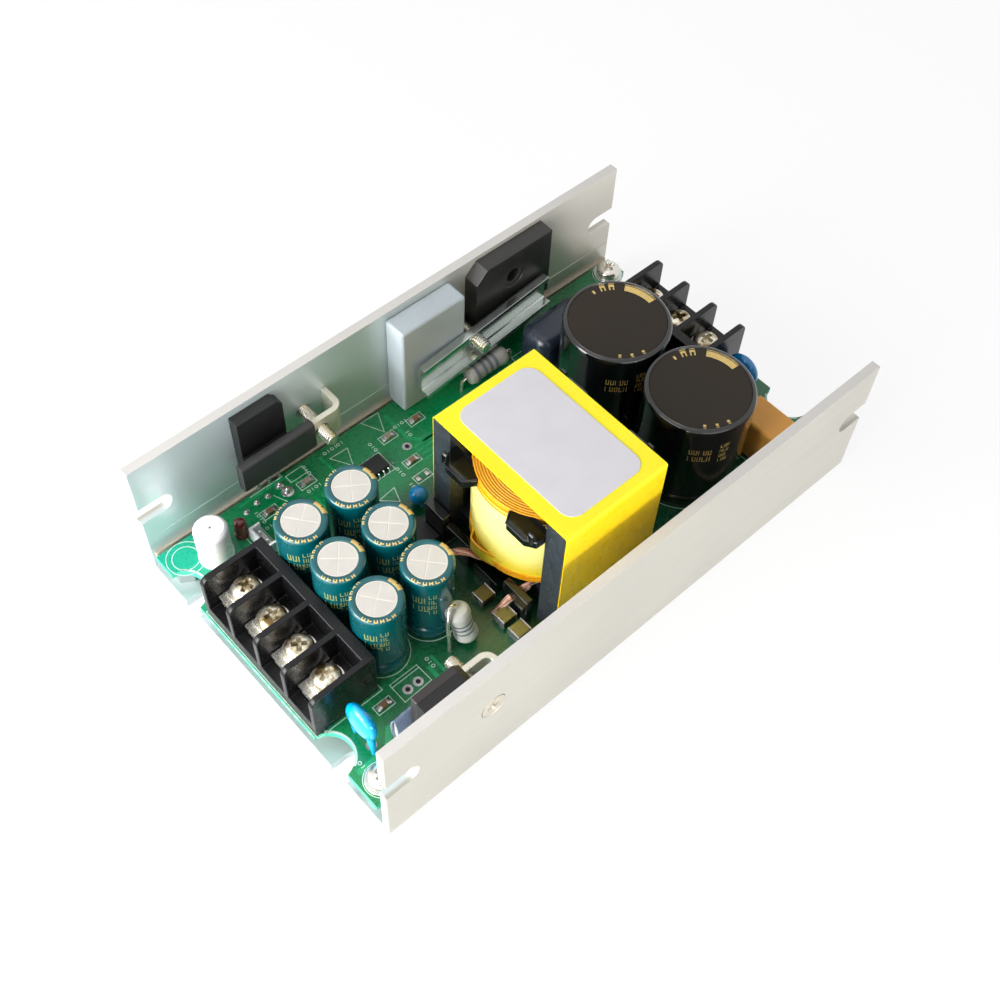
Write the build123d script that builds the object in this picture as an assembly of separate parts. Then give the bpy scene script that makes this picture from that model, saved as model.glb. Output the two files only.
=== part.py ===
from build123d import *
import math
import os

# Open-frame power supply on a U-shaped sheet-metal chassis, in millimetres.
# X runs along the length: the output terminals are at -X and the input terminals at +X.
# Y runs across, Z is up, and the origin is under the middle of the chassis floor.

# Chassis
chassis_length = 127.0
chassis_width = 76.2
chassis_height = 34.0
sheet_thickness = 2.0
bend_radius = 1.0
wall_slot_width = 4.8
wall_slot_depth = 7.3
wall_slot_height = 20.0
floor_slot_width = 4.6
floor_slot_depth = 5.8
floor_slot_inset = 14.8

# Circuit board and what it stands on
board_thickness = 1.6
board_side_gap = 1.5
board_rear_setback = 0.6
standoff_height = 4.0
standoff_diameter = 6.0
standoff_engagement = 3.2
post_inset_x = 4.1
post_inset_y = 3.4
notch_radius = 5.0
notch_depth = 4.2
near_notch_inset = 13.1
far_notch_inset = 10.2
liner_thickness = 0.4
liner_end_gap = 13.5
liner_side_gap = 1.0

# Small machine screws, and the room that parts leave each other
thread_diameter = 3.0
thread_clearance = 0.1
hole_clearance = 0.2
seat_clearance = 0.15
screw_head_diameter = 5.5
screw_head_height = 2.2
board_washer_diameter = 6.6
board_washer_thickness = 0.5
countersink_diameter = 5.9
wall_screw_length = 12.0
wall_screw_height = 20.8
recess_width = 1.0
recess_length = 3.2
recess_depth = 1.1

# Barrier terminal blocks
output_poles = 4
input_poles = 3
terminal_pitch = 8.25
terminal_block_height = 12.9
terminal_block_depth = 14.5
barrier_thickness = 1.3
barrier_corner_radius = 1.5
terminal_back_thickness = 2.3
terminal_lip_height = 3.0
terminal_lip_depth = 3.2
terminal_wall_depth = 1.9
input_wall_height = 5.4
terminal_deck_height = 5.0
terminal_plate_thickness = 0.8
terminal_plate_drop = 1.8
terminal_tail_width = 2.0
clamp_plate_size = 6.2
clamp_plate_thickness = 1.1
terminal_screw_setback = 6.8
terminal_head_diameter = 5.6
terminal_head_height = 2.5
terminal_screw_reach = 4.5
output_block_inset = 0.4
output_block_y = 0.25
input_block_inset = 1.1
input_block_y = 6.25

# Electrolytic capacitors
small_capacitor_diameter = 10.4
small_capacitor_height = 20.0
small_capacitor_columns = 2
small_capacitor_rows = 3
small_capacitor_block_gap = 0.3
small_capacitor_column_gap = 1.5
small_capacitor_row_gap = 0.75
bulk_capacitor_diameter = 22.5
bulk_capacitor_height = 25.5
bulk_capacitor_block_gap = 3.65
bulk_capacitor_row_gap = 0.6
bulk_free_share = 0.8726
can_groove_depth = 0.4
can_groove_width = 1.0
can_groove_height = 3.0
can_rim_width = 1.5
can_recess_depth = 0.3
can_edge_radius = 0.7

# Transformer
core_free_share = 0.19
core_wall_gap = 5.55
core_length = 35.2
core_depth = 25.2
core_height = 33.0
core_lift = 1.6
core_plate_thickness = 4.6
core_window_radius = 15.9
core_window_length = 28.6
core_post_radius = 7.2
core_gap = 0.5
bobbin_clearance = 0.3
bobbin_wall = 1.2
bobbin_flange_radius = 15.3
bobbin_flange_thickness = 1.4
ear_reach = 2.3
ear_inner_offset = 6.0
ear_outer_offset = 11.2
rail_thickness = 1.8
rail_half_length = 12.0
winding_radius = 14.1
winding_flange_gap = 0.2
tape_thickness = 0.25
label_thickness = 0.12
label_margin_x = 3.1
label_margin_y = 2.0
label_corner_radius = 3.0
lead_diameter = 1.6
lead_bend_radius = 1.5
lead_spread = 9.0
lead_foot_spread = 6.0
lead_knee_height = 4.2

# Parts clamped to the far wall
switch_boot_x = 5.85
boot_wall = 0.6
boot_clearance = 0.2
boot_height = 24.6
switch_width = 15.5
switch_thickness = 4.0
switch_height = 19.5
lead_thickness = 0.7
rectifier_boot_gap = 4.6
rectifier_width = 21.5
rectifier_thickness = 3.8
rectifier_bottom = 14.7
rectifier_height = 18.3
rectifier_chamfer = 3.0
rectifier_hole_diameter = 3.4
bar_left_inset = 2.7
bar_right_inset = 2.5
bar_height = 8.0
bar_sheet = 1.2
bar_lower_flange = 3.2
bar_upper_flange = 2.3
bar_centre_height = 18.0

# Transistors held by straps on both walls
strap_transistor_width = 10.7
strap_transistor_thin = 2.7
strap_transistor_thick = 4.5
strap_transistor_bottom = 16.1
strap_transistor_height = 16.2
strap_transistor_step = 4.8
transistor_corner = 1.4
far_transistor_inset = 27.75
near_transistor_inset = 16.3
strap_thickness = 1.3
strap_height = 6.6
sleeve_clearance = 0.1
sleeve_wall = 0.4
strap_bend_radius = 1.2
sleeve_lead = 2.4
far_sleeve_trail = 4.1
near_sleeve_trail = 0.9
strap_screw_gap = 1.9
strap_heel_gap = 5.9
lead_pitch = 2.54

# Small parts on the board
disc_diameter = 8.0
disc_thickness = 3.2
front_disc_inset = 6.3
front_disc_block_gap = 2.3
front_disc_stand = 4.4
rear_disc_inset = 4.5
rear_disc_block_gap = 0.4
bead_diameter = 4.0
bead_core_offset = 12.0
bead_core_gap = 3.4
film_capacitor_length = 13.2
film_capacitor_width = 7.6
film_capacitor_height = 10.6
film_capacitor_gap = 0.25
film_capacitor_edge_gap = 1.0
box_corner_radius = 0.8
line_filter_length = 16.5
line_filter_width = 8.8
line_filter_height = 11.0
line_filter_corner = 3.0
line_filter_top_radius = 2.7
line_filter_bulk_offset = 0.9
line_filter_gap = 1.15
axial_body_diameter = 4.4
axial_body_length = 11.0
axial_lead_diameter = 0.8
upright_resistor_diameter = 4.8
upright_resistor_length = 9.5
upright_offset = 2.3
upright_capacitor_gap = 2.2
upright_foot_x_reach = 4.2
upright_foot_y_reach = 1.5
snubber_filter_offset = 16.2
snubber_edge_gap = 5.2
lens_diameter = 7.2
lens_height = 6.4
lens_inset = 9.4
lens_edge_gap = 3.8
led_diameter = 3.0
led_height = 3.5
led_gap = 1.6
led_free_share = 0.607
header_length = 6.2
header_width = 2.6
header_height = 3.6
header_gap = 0.4
header_wall = 0.6
chip_height = 1.5
chip_package_length = 4.9
chip_package_width = 3.9
controller_strap_offset = 7.4
controller_edge_inset = 11.5
coupler_length = 6.4
coupler_width = 4.6
coupler_height = 3.6
coupler_gap = 0.6
chip_part_length = 2.0
chip_part_width = 1.2
chip_part_height = 0.8
front_part_insets = [(33.6, 5.0), (23.5, 6.0)]
snubber_part_insets = [(27.4, 6.9), (27.5, 15.0), (19.9, 7.0)]
block_side_part_inset = 13.6
block_side_part_gap = 2.6
block_part_length = 3.6
block_part_width = 3.2
block_part_height = 2.4
block_part_rail_gap = 0.5
block_part_offsets = [-2.4, -8.6, -12.8]
fuse_diameter = 8.0
fuse_height = 8.0
fuse_gap = 0.95
lead_stand = 0.8

# Heights and edges that many pieces share
half_length = chassis_length / 2
half_width = chassis_width / 2
wall_face = half_width - sheet_thickness
board_bottom = sheet_thickness + standoff_height
board_top = board_bottom + board_thickness
board_front = -half_length
board_rear = half_length - board_rear_setback
board_edge = wall_face - board_side_gap
post_x = [-half_length + post_inset_x, half_length - post_inset_x]
post_y = [-board_edge + post_inset_y, board_edge - post_inset_y]
floor_slot_y = half_width - floor_slot_inset
hole_radius = thread_diameter / 2 + hole_clearance
tapped_radius = thread_diameter / 2 + thread_clearance

# Places that follow from the sizes of neighbours
output_front = -half_length + output_block_inset
output_back = output_front + terminal_block_depth
input_front = half_length - input_block_inset
input_back = input_front - terminal_block_depth
column_pitch = small_capacitor_diameter + small_capacitor_column_gap
row_pitch = small_capacitor_diameter + small_capacitor_row_gap
first_column_x = output_back + small_capacitor_block_gap + small_capacitor_diameter / 2
last_column_x = first_column_x + (small_capacitor_columns - 1) * column_pitch
column_places = [first_column_x + i * column_pitch for i in range(small_capacitor_columns)]
first_row_y = output_block_y + (small_capacitor_rows - 1) / 2 * row_pitch
row_places = [first_row_y - i * row_pitch for i in range(small_capacitor_rows)]
boot_depth = switch_thickness + 2 * boot_clearance + 2 * boot_wall
boot_face = wall_face - boot_depth
bulk_radius = bulk_capacitor_diameter / 2
bulk_x = input_back - bulk_capacitor_block_gap - bulk_radius
bulk_pitch = bulk_capacitor_diameter + bulk_capacitor_row_gap
bulk_group_width = bulk_pitch + bulk_capacitor_diameter + line_filter_gap + line_filter_width
bulk_free = boot_face - bar_lower_flange + wall_face - bulk_group_width
near_bulk_y = bulk_free_share * bulk_free + bulk_radius - wall_face
bulk_rows = [near_bulk_y + bulk_pitch, near_bulk_y]
line_filter_x = bulk_x + line_filter_bulk_offset
core_y = -wall_face + core_wall_gap + core_length / 2 + tape_thickness
rail_inner = core_depth / 2 + bobbin_clearance
rail_outer = rail_inner + rail_thickness
core_left_reach = coupler_width + coupler_gap + rail_outer
core_room_start = last_column_x + small_capacitor_diameter / 2
core_room = bulk_x - bulk_radius - core_room_start
core_x = core_room_start + core_left_reach + core_free_share * (core_room - core_left_reach - rail_outer)
rail_face_x = core_x - rail_outer
far_transistor_x = -half_length + far_transistor_inset
near_transistor_x = -half_length + near_transistor_inset
far_strap_screw_x = far_transistor_x + strap_transistor_width / 2 + far_sleeve_trail + strap_screw_gap
near_strap_screw_x = near_transistor_x + strap_transistor_width / 2 + near_sleeve_trail + strap_screw_gap
boot_half = switch_width / 2 + boot_clearance + boot_wall
boot_edge_x = switch_boot_x + boot_half
rectifier_left = boot_edge_x + rectifier_boot_gap
bar_screw_x = (boot_edge_x + rectifier_left) / 2

os.makedirs("parts", exist_ok=True)


def save(name, shapes):
    """Write the separate solids of one sub-part."""
    solids = [solid for shape in shapes for solid in shape.solids()]
    export_step(Compound(solids), f"parts/{name}.step")


def block(x, y, z):
    """Box between two values on each axis."""
    size = Box(x[1] - x[0], y[1] - y[0], z[1] - z[0])
    return Pos((x[0] + x[1]) / 2, (y[0] + y[1]) / 2, (z[0] + z[1]) / 2) * size


def post(x, y, z, radius):
    """Upright cylinder between two heights."""
    return Pos(x, y, (z[0] + z[1]) / 2) * Cylinder(radius, z[1] - z[0])


def bar_across(x, y, z, radius):
    """Cylinder along Y between two values."""
    return Pos(x, (y[0] + y[1]) / 2, z) * Rot(90, 0, 0) * Cylinder(radius, y[1] - y[0])


def bar_along(x, y, z, radius):
    """Cylinder along X between two values."""
    return Pos((x[0] + x[1]) / 2, y, z) * Rot(0, 90, 0) * Cylinder(radius, x[1] - x[0])


def cross_recess(top):
    """Cutter for the cross in a screw head that faces up."""
    slot = Box(recess_length, recess_width, 2 * recess_depth)
    return Pos(0, 0, top) * (slot + Rot(0, 0, 90) * slot)


def pan_screw(head_diameter, head_height, shank_length):
    """Screw whose head stands on height zero and whose shank goes down."""
    head = Pos(0, 0, head_height / 2) * Cylinder(head_diameter / 2, head_height)
    head = fillet(head.edges().group_by(Axis.Z)[-1], head_height / 3)
    shank = Pos(0, 0, -shank_length / 2) * Cylinder(thread_diameter / 2, shank_length)
    return head + shank - cross_recess(head_height)


def countersunk_screw():
    """Screw whose flat head ends at height zero and whose shank goes down."""
    head_radius = countersink_diameter / 2 - thread_clearance
    head_depth = head_radius - thread_diameter / 2
    head = Pos(0, 0, -head_depth / 2) * Cone(thread_diameter / 2, head_radius, head_depth)
    shank_length = wall_screw_length - head_depth
    shank = Pos(0, 0, -head_depth - shank_length / 2) * Cylinder(thread_diameter / 2, shank_length)
    return head + shank - cross_recess(0)


def countersunk_hole():
    """Cutter for a flat-headed screw through a wall whose outside is at height zero."""
    depth = countersink_diameter / 2 - hole_radius
    seat = Pos(0, 0, -depth / 2) * Cone(hole_radius, countersink_diameter / 2, depth)
    return seat + Cylinder(hole_radius, 4 * sheet_thickness)


def on_wall(side, x, z):
    """Place on the outside of a wall, with height zero at its face and down as inward."""
    return Pos(x, side * half_width, z) * Rot(-90 * side, 0, 0)


# Chassis
def end_slot(end, across, height, width, depth, thickness_axis):
    """Cutter for a slot with a round end, open at one end of the sheet."""
    start = end * (half_length + width)
    centre = end * (half_length - depth + width / 2)
    span = (min(start, centre), max(start, centre))
    through = 4 * sheet_thickness
    if thickness_axis == "Z":
        straight = block(span, (across - width / 2, across + width / 2), (height - through, height + through))
        return straight + Pos(centre, across, height) * Cylinder(width / 2, 2 * through)
    straight = block(span, (across - through, across + through), (height - width / 2, height + width / 2))
    return straight + Pos(centre, across, height) * Rot(90, 0, 0) * Cylinder(width / 2, 2 * through)


wall_screws = [(1, far_strap_screw_x, wall_screw_height), (-1, near_strap_screw_x, wall_screw_height),
               (1, bar_screw_x, bar_centre_height)]

outer = block((-half_length, half_length), (-half_width, half_width), (0, chassis_height))
outer = fillet(outer.edges().filter_by(Axis.X).group_by(Axis.Z)[0], bend_radius)
above = 2 * chassis_height
chassis = outer - block((-chassis_length, chassis_length), (-wall_face, wall_face), (sheet_thickness, above))
for end in (-1, 1):
    for side in (-1, 1):
        chassis -= end_slot(end, side * floor_slot_y, 0, floor_slot_width, floor_slot_depth, "Z")
        chassis -= end_slot(end, side * half_width, wall_slot_height, wall_slot_width, wall_slot_depth, "Y")
for side, x, z in wall_screws:
    chassis -= on_wall(side, x, z) * countersunk_hole()
save("chassis", [chassis])
save("wall_screws", [on_wall(side, x, z) * countersunk_screw() for side, x, z in wall_screws])

# Board, liner, standoffs, screws and washers
board = block((board_front, board_rear), (-board_edge, board_edge), (board_bottom, board_top))
for x in (board_front - notch_radius + notch_depth, board_rear + notch_radius - notch_depth):
    for y in (near_notch_inset - board_edge, board_edge - far_notch_inset):
        board -= post(x, y, (board_bottom - 1, board_top + 1), notch_radius)
corners = [(x, y) for x in post_x for y in post_y]
screwed_corners = [corner for corner in corners if corner != (post_x[0], post_y[1])]
for x, y in screwed_corners:
    board -= post(x, y, (board_bottom - 1, board_top + 1), hole_radius)
save("circuit_board", [board])

standoffs = []
screws = []
washers = []
for x, y in corners:
    standoff = post(x, y, (sheet_thickness, board_bottom), standoff_diameter / 2)
    standoffs.append(standoff - post(x, y, (sheet_thickness, board_bottom), tapped_radius))
for x, y in screwed_corners:
    washer_top = board_top + board_washer_thickness
    washer = post(x, y, (board_top, washer_top), board_washer_diameter / 2)
    washers.append(washer - post(x, y, (board_top, washer_top), hole_radius))
    shank_length = board_washer_thickness + board_thickness + standoff_engagement
    screws.append(Pos(x, y, washer_top) * pan_screw(screw_head_diameter, screw_head_height, shank_length))
save("board_standoffs", standoffs)
save("board_washers", washers)
save("board_screws", screws)

liner_edge = wall_face - liner_side_gap
liner_end = half_length - liner_end_gap
liner_z = (sheet_thickness, sheet_thickness + liner_thickness)
liner = block((-liner_end, liner_end), (-liner_edge, liner_edge), liner_z)
save("insulating_liner", [liner])


# Barrier terminal blocks, drawn with the front at x = 0 and the board at height zero
def pole_positions(poles):
    """Middle of each cell across the block."""
    return [(i - (poles - 1) / 2) * terminal_pitch for i in range(poles)]


def terminal_body(poles, wall_height):
    """Moulded block with a cell for each pole, closed at its front up to a height."""
    half = (poles * terminal_pitch + barrier_thickness) / 2
    body = block((0, terminal_block_depth), (-half, half), (0, terminal_block_height))
    top_edges = body.edges().filter_by(Axis.Y).group_by(Axis.Z)[-1]
    body = fillet(top_edges.sort_by(Axis.X)[0], barrier_corner_radius)
    half_cell = (terminal_pitch - barrier_thickness) / 2
    above = 2 * terminal_block_height
    hole_bottom = terminal_deck_height - terminal_screw_reach
    back_face = terminal_block_depth - terminal_back_thickness
    for y in pole_positions(poles):
        cell = (y - half_cell, y + half_cell)
        body -= block((-1, back_face), cell, (terminal_deck_height, above))
        body -= block((-1, terminal_lip_depth), cell, (terminal_lip_height, above))
        body -= post(terminal_screw_setback, y, (hole_bottom, above), tapped_radius)
        body -= Pos(0, y, 0) * tail(seat_clearance)
    return body + block((0, terminal_wall_depth), (-half, half), (0, wall_height))


def tail(clearance):
    """Solder tail of a terminal plate, or with a clearance the way for it through the block."""
    back = terminal_block_depth - terminal_back_thickness - seat_clearance
    half = terminal_tail_width / 2 + clearance
    top = terminal_deck_height
    return block((back - terminal_plate_thickness - clearance, back + clearance), (-half, half), (0, top))


def terminal_plate():
    """Metal strip of one cell, folded down over the deck's front edge, with its solder tail."""
    half = (terminal_pitch - barrier_thickness) / 2 - seat_clearance
    back = terminal_block_depth - terminal_back_thickness - seat_clearance
    top = terminal_deck_height + terminal_plate_thickness
    front = terminal_lip_depth - terminal_plate_thickness
    plate = block((front, back), (-half, half), (terminal_deck_height, top))
    drop = block((front, terminal_lip_depth), (-half, half), (top - terminal_plate_drop, top))
    hole = post(terminal_screw_setback, 0, (0, 2 * top), tapped_radius)
    return plate + drop + tail(0) - hole


def clamp_plate():
    """Square plate that the screw presses on the wire."""
    low = terminal_deck_height + terminal_plate_thickness
    half = clamp_plate_size / 2
    middle = terminal_screw_setback
    plate = block((middle - half, middle + half), (-half, half), (low, low + clamp_plate_thickness))
    return plate - post(middle, 0, (0, 2 * low), tapped_radius)


def terminal_screw():
    """Screw of one cell."""
    seat = terminal_deck_height + terminal_plate_thickness + clamp_plate_thickness
    reach = clamp_plate_thickness + terminal_plate_thickness + terminal_screw_reach - seat_clearance
    screw = pan_screw(terminal_head_diameter, terminal_head_height, reach)
    return Pos(terminal_screw_setback, 0, seat) * screw


def save_terminal_block(name, poles, place, wall_height):
    """Write one block as its body, plates, clamps and screws."""
    cells = [place * Pos(0, y, 0) for y in pole_positions(poles)]
    save(f"{name}_terminal_block", [place * terminal_body(poles, wall_height)])
    save(f"{name}_terminal_plates", [cell * terminal_plate() for cell in cells])
    save(f"{name}_clamp_plates", [cell * clamp_plate() for cell in cells])
    save(f"{name}_terminal_screws", [cell * terminal_screw() for cell in cells])


output_place = Pos(output_front, output_block_y, board_top)
input_place = Pos(input_front, input_block_y, board_top) * Rot(0, 0, 180)
save_terminal_block("output", output_poles, output_place, terminal_lip_height)
save_terminal_block("input", input_poles, input_place, input_wall_height)


# Electrolytic capacitors
def can(x, y, diameter, height):
    """Sleeved can with a rolled groove near its foot and a scored recess in its top."""
    radius = diameter / 2
    top = board_top + height
    groove = board_top + can_groove_height
    body = post(x, y, (board_top, top), radius)
    body = fillet(body.edges().group_by(Axis.Z)[-1], can_edge_radius)
    ring = post(x, y, (groove, groove + can_groove_width), radius + 1)
    ring -= post(x, y, (groove, groove + can_groove_width), radius - can_groove_depth)
    return body - ring - post(x, y, (top - can_recess_depth, top + 1), radius - can_rim_width)


for row, y in enumerate(row_places):
    for column, x in enumerate(column_places):
        name = f"output_capacitor_{row + 1}_{column + 1}"
        save(name, [can(x, y, small_capacitor_diameter, small_capacitor_height)])
for row, y in enumerate(bulk_rows):
    save(f"bulk_capacitor_{row + 1}", [can(bulk_x, y, bulk_capacitor_diameter, bulk_capacitor_height)])

# Transformer, drawn with its middle at x = y = 0
core_place = Pos(core_x, core_y, 0)
core_bottom = board_top + core_lift
core_top = core_bottom + core_height
core_middle = (core_bottom + core_top) / 2
window = (core_bottom + core_plate_thickness, core_top - core_plate_thickness)
half_core = core_length / 2
half_depth = core_depth / 2

core = block((-half_depth, half_depth), (-half_core, half_core), (core_bottom, core_top))
core -= post(0, 0, window, core_window_radius)
core -= block((-core_depth, core_depth), (-core_window_length / 2, core_window_length / 2), window)
core += post(0, 0, window, core_post_radius)
core -= post(0, 0, (core_middle - core_gap / 2, core_middle + core_gap / 2), core_post_radius)
for name, low, high in (("core_lower", core_bottom, core_middle), ("core_upper", core_middle, core_top)):
    half = core & block((-core_depth, core_depth), (-core_length, core_length), (low, high))
    save(name, [core_place * half])

# Bobbin: a tube on the middle post, two flanges, ears above and pin rails below
tube_inner = core_post_radius + bobbin_clearance
tube_outer = tube_inner + bobbin_wall
flanges = ((window[0], window[0] + bobbin_flange_thickness), (window[1] - bobbin_flange_thickness, window[1]))
bobbin = post(0, 0, window, tube_outer)
for low, high in flanges:
    bobbin += post(0, 0, (low, high), bobbin_flange_radius)
ear_x = half_depth + ear_reach
for side in (-1, 1):
    for end in (-1, 1):
        x = sorted((0, end * ear_x))
        y = sorted((side * ear_inner_offset, side * ear_outer_offset))
        bobbin += block(x, y, flanges[1])
for end in (-1, 1):
    x = sorted((end * rail_inner, end * rail_outer))
    bobbin += block(x, (-rail_half_length, rail_half_length), (board_top, flanges[0][1]))
bobbin -= post(0, 0, (window[0] - 1, window[1] + 1), tube_inner)
save("bobbin", [core_place * bobbin])

winding_span = (flanges[0][1] + winding_flange_gap, flanges[1][0] - winding_flange_gap)
winding = post(0, 0, winding_span, winding_radius) - post(0, 0, winding_span, tube_outer + bobbin_clearance)
save("winding", [core_place * winding])

# Tape round the core, open on its two short sides
tape_y = half_core + tape_thickness
tape = block((-half_depth, half_depth), (-tape_y, tape_y), (core_bottom, core_top + tape_thickness))
tape -= block((-core_depth, core_depth), (-half_core, half_core), (core_bottom - 1, core_top))
save("core_tape", [core_place * tape])

label_half_x = half_depth - label_margin_x
label_half_y = half_core - label_margin_y
label_bottom = core_top + tape_thickness
label = block((-label_half_x, label_half_x), (-label_half_y, label_half_y),
              (label_bottom, label_bottom + label_thickness))
label = fillet(label.edges().filter_by(Axis.Z), label_corner_radius)
save("transformer_label", [core_place * label])

# Two stranded leads that leave the winding over the lower flange and the rail
lead_radius = lead_diameter / 2
over_rail = flanges[0][1] + lead_radius + bobbin_clearance
leads = []
for side in (-1, 1):
    start = (-half_depth, side * lead_spread, over_rail)
    bend = (-rail_outer - lead_diameter, side * lead_spread, over_rail)
    knee = (-rail_outer - 2 * lead_diameter, side * lead_foot_spread, board_top + lead_knee_height)
    foot = (-rail_outer - 2 * lead_diameter, side * lead_foot_spread, board_top)
    route = FilletPolyline(start, bend, knee, foot, radius=lead_bend_radius)
    leads.append(sweep(Plane(route @ 0, z_dir=route % 0) * Circle(lead_radius), path=route))
save("winding_leads", [core_place * lead for lead in leads])


# Semiconductors on the walls, drawn for the far wall, with x from their middle
def lead_row(x, y, count, pitch, bottom):
    """Straight leads from a package down to the board."""
    half = lead_thickness / 2
    leads = []
    for i in range(count):
        middle = x + (i - (count - 1) / 2) * pitch
        leads.append(block((middle - half, middle + half), (y - half, y + half), (board_top, bottom)))
    return leads


def joined(solids):
    """One solid from pieces that touch."""
    whole = solids[0]
    for solid in solids[1:]:
        whole += solid
    return whole


boot_top = board_top + boot_height
boot_room = boot_half - boot_wall
boot = block((switch_boot_x - boot_half, boot_edge_x), (boot_face, wall_face), (board_top, boot_top))
boot_room_x = (switch_boot_x - boot_room, switch_boot_x + boot_room)
boot -= block(boot_room_x, (boot_face + boot_wall, wall_face - boot_wall), (board_top - 1, boot_top - boot_wall))
save("thermal_boot", [boot])

switch_back = wall_face - boot_wall - boot_clearance
switch_top = boot_top - boot_wall - boot_clearance
switch_x = (switch_boot_x - switch_width / 2, switch_boot_x + switch_width / 2)
switch_bottom = switch_top - switch_height
switch_body = block(switch_x, (switch_back - switch_thickness, switch_back), (switch_bottom, switch_top))
switch_leads = lead_row(switch_boot_x, switch_back - switch_thickness / 2, 3, 2 * lead_pitch, switch_bottom)
save("switching_transistor", [joined([switch_body] + switch_leads)])

rectifier_front = wall_face - rectifier_thickness
rectifier_x = rectifier_left + rectifier_width / 2
rectifier_top = rectifier_bottom + rectifier_height
rectifier = block((rectifier_left, rectifier_left + rectifier_width), (rectifier_front, wall_face),
                  (rectifier_bottom, rectifier_top))
corner = rectifier.edges().filter_by(Axis.Y).group_by(Axis.Z)[-1].sort_by(Axis.X)[0]
rectifier = chamfer(corner, rectifier_chamfer)
hole_z = rectifier_top - rectifier_hole_diameter * 2
rectifier -= bar_across(rectifier_x, (0, half_width), hole_z, rectifier_hole_diameter / 2)
rectifier_middle_y = wall_face - rectifier_thickness / 2
rectifier_leads = lead_row(rectifier_x, rectifier_middle_y, 4, 2 * lead_pitch, rectifier_bottom)
save("bridge_rectifier", [joined([rectifier] + rectifier_leads)])

# Channel bar that presses the boot and the rectifier to the wall. It leans on the boot's
# edge and, at its far end, on the rectifier, so it stands at a slight angle.
bar_left_reach = 2 * boot_half - bar_left_inset
bar_right_reach = rectifier_boot_gap + rectifier_width - bar_right_inset
bar_angle = math.atan2(rectifier_front - boot_face, bar_right_reach)
bar_low = bar_centre_height - bar_height / 2
bar_high = bar_centre_height + bar_height / 2
bar_span = (-bar_left_reach / math.cos(bar_angle), bar_right_reach / math.cos(bar_angle))
bar = block(bar_span, (-bar_sheet, 0), (bar_low, bar_high))
bar += block(bar_span, (-bar_lower_flange, 0), (bar_low, bar_low + bar_sheet))
bar += block(bar_span, (-bar_upper_flange, 0), (bar_high - bar_sheet, bar_high))
bar_place = Pos(boot_edge_x, boot_face - thread_clearance, 0) * Rot(0, 0, math.degrees(bar_angle))
bar = bar_place * bar
bar -= bar_across(bar_screw_x, (0, wall_face), bar_centre_height, hole_radius + thread_clearance)
save("clamp_bar", [bar])


def strap_set(side, x, screw_x, sleeve_trail, tab_thickness, name):
    """Transistor on one wall, with the strap that presses it and the sleeve on the strap."""
    half = strap_transistor_width / 2
    top = strap_transistor_bottom + strap_transistor_height
    step = strap_transistor_bottom + strap_transistor_step
    thin_y = wall_face - tab_thickness
    thick_y = wall_face - strap_transistor_thick
    body = block((x - half, x + half), (thin_y, wall_face), (strap_transistor_bottom, top))
    body = chamfer(body.edges().filter_by(Axis.Y).group_by(Axis.Z)[-1].sort_by(Axis.X)[-1], transistor_corner)
    body += block((x - half, x + half), (thick_y, wall_face), (strap_transistor_bottom, step))
    leads = lead_row(x, wall_face - strap_transistor_thin / 2, 3, lead_pitch, strap_transistor_bottom)

    strap_back = thick_y - sleeve_wall - sleeve_clearance
    strap_y = (strap_back - strap_thickness, strap_back)
    strap_z = (wall_screw_height - strap_height / 2, wall_screw_height + strap_height / 2)
    tip = x - half - sleeve_lead
    heel = screw_x + strap_heel_gap
    heel_inside = heel - strap_thickness
    outline = Polyline((tip, strap_y[0]), (heel, strap_y[0]), (heel, wall_face), (heel_inside, wall_face),
                       (heel_inside, strap_back), (tip, strap_back), close=True)
    strap = Pos(0, 0, strap_z[0]) * extrude(make_face(outline), strap_height)
    outer_bend = strap_bend_radius + strap_thickness
    bends = ((heel, strap_y[0], outer_bend), (heel_inside, strap_back, strap_bend_radius))
    for bend_x, bend_y, radius in bends:
        upright = strap.edges().filter_by(Axis.Z).sort_by_distance((bend_x, bend_y, wall_screw_height))
        strap = fillet(upright[0], radius)
    strap -= bar_across(screw_x, (0, wall_face), wall_screw_height, tapped_radius)

    room = sleeve_clearance
    cover = sleeve_clearance + sleeve_wall
    sleeve_x = (tip - sleeve_wall, x + half + sleeve_trail)
    shell_y = (strap_y[0] - cover, strap_y[1] + cover)
    shell_z = (strap_z[0] - cover, strap_z[1] + cover)
    hollow_y = (strap_y[0] - room, strap_y[1] + room)
    hollow_z = (strap_z[0] - room, strap_z[1] + room)
    sleeve = block(sleeve_x, shell_y, shell_z) - block((tip - room, sleeve_x[1] + 1), hollow_y, hollow_z)
    pieces = (("transistor", joined([body] + leads)), ("clamp_strap", strap), ("strap_sleeve", sleeve))
    for kind, solid in pieces:
        save(f"{name}_{kind}", [solid if side > 0 else solid.mirror(Plane.XZ)])


strap_set(1, far_transistor_x, far_strap_screw_x, far_sleeve_trail, strap_transistor_thin, "far")
strap_set(-1, near_transistor_x, near_strap_screw_x, near_sleeve_trail, strap_transistor_thick, "near")


# Small parts on the board
def standing_disc(x, y, diameter, thickness, stand):
    """Dipped disc on edge, with its faces towards X, that stands off the board on two leads."""
    centre = board_top + stand + diameter / 2
    disc = bar_along((x - thickness / 2, x + thickness / 2), y, centre, diameter / 2)
    disc = fillet(disc.edges(), thickness / 3)
    leads = [post(x, y + end * lead_pitch, (board_top, centre), axial_lead_diameter / 2) for end in (-1, 1)]
    return joined([disc] + leads)


def standing_bead(x, y, diameter):
    """Dipped bead on two short leads."""
    centre = board_top + lead_stand + diameter / 2
    bead = Pos(x, y, centre) * Sphere(diameter / 2)
    leads = [post(x, y + end * diameter / 4, (board_top, centre), axial_lead_diameter / 2) for end in (-1, 1)]
    return joined([bead] + leads)


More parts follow.
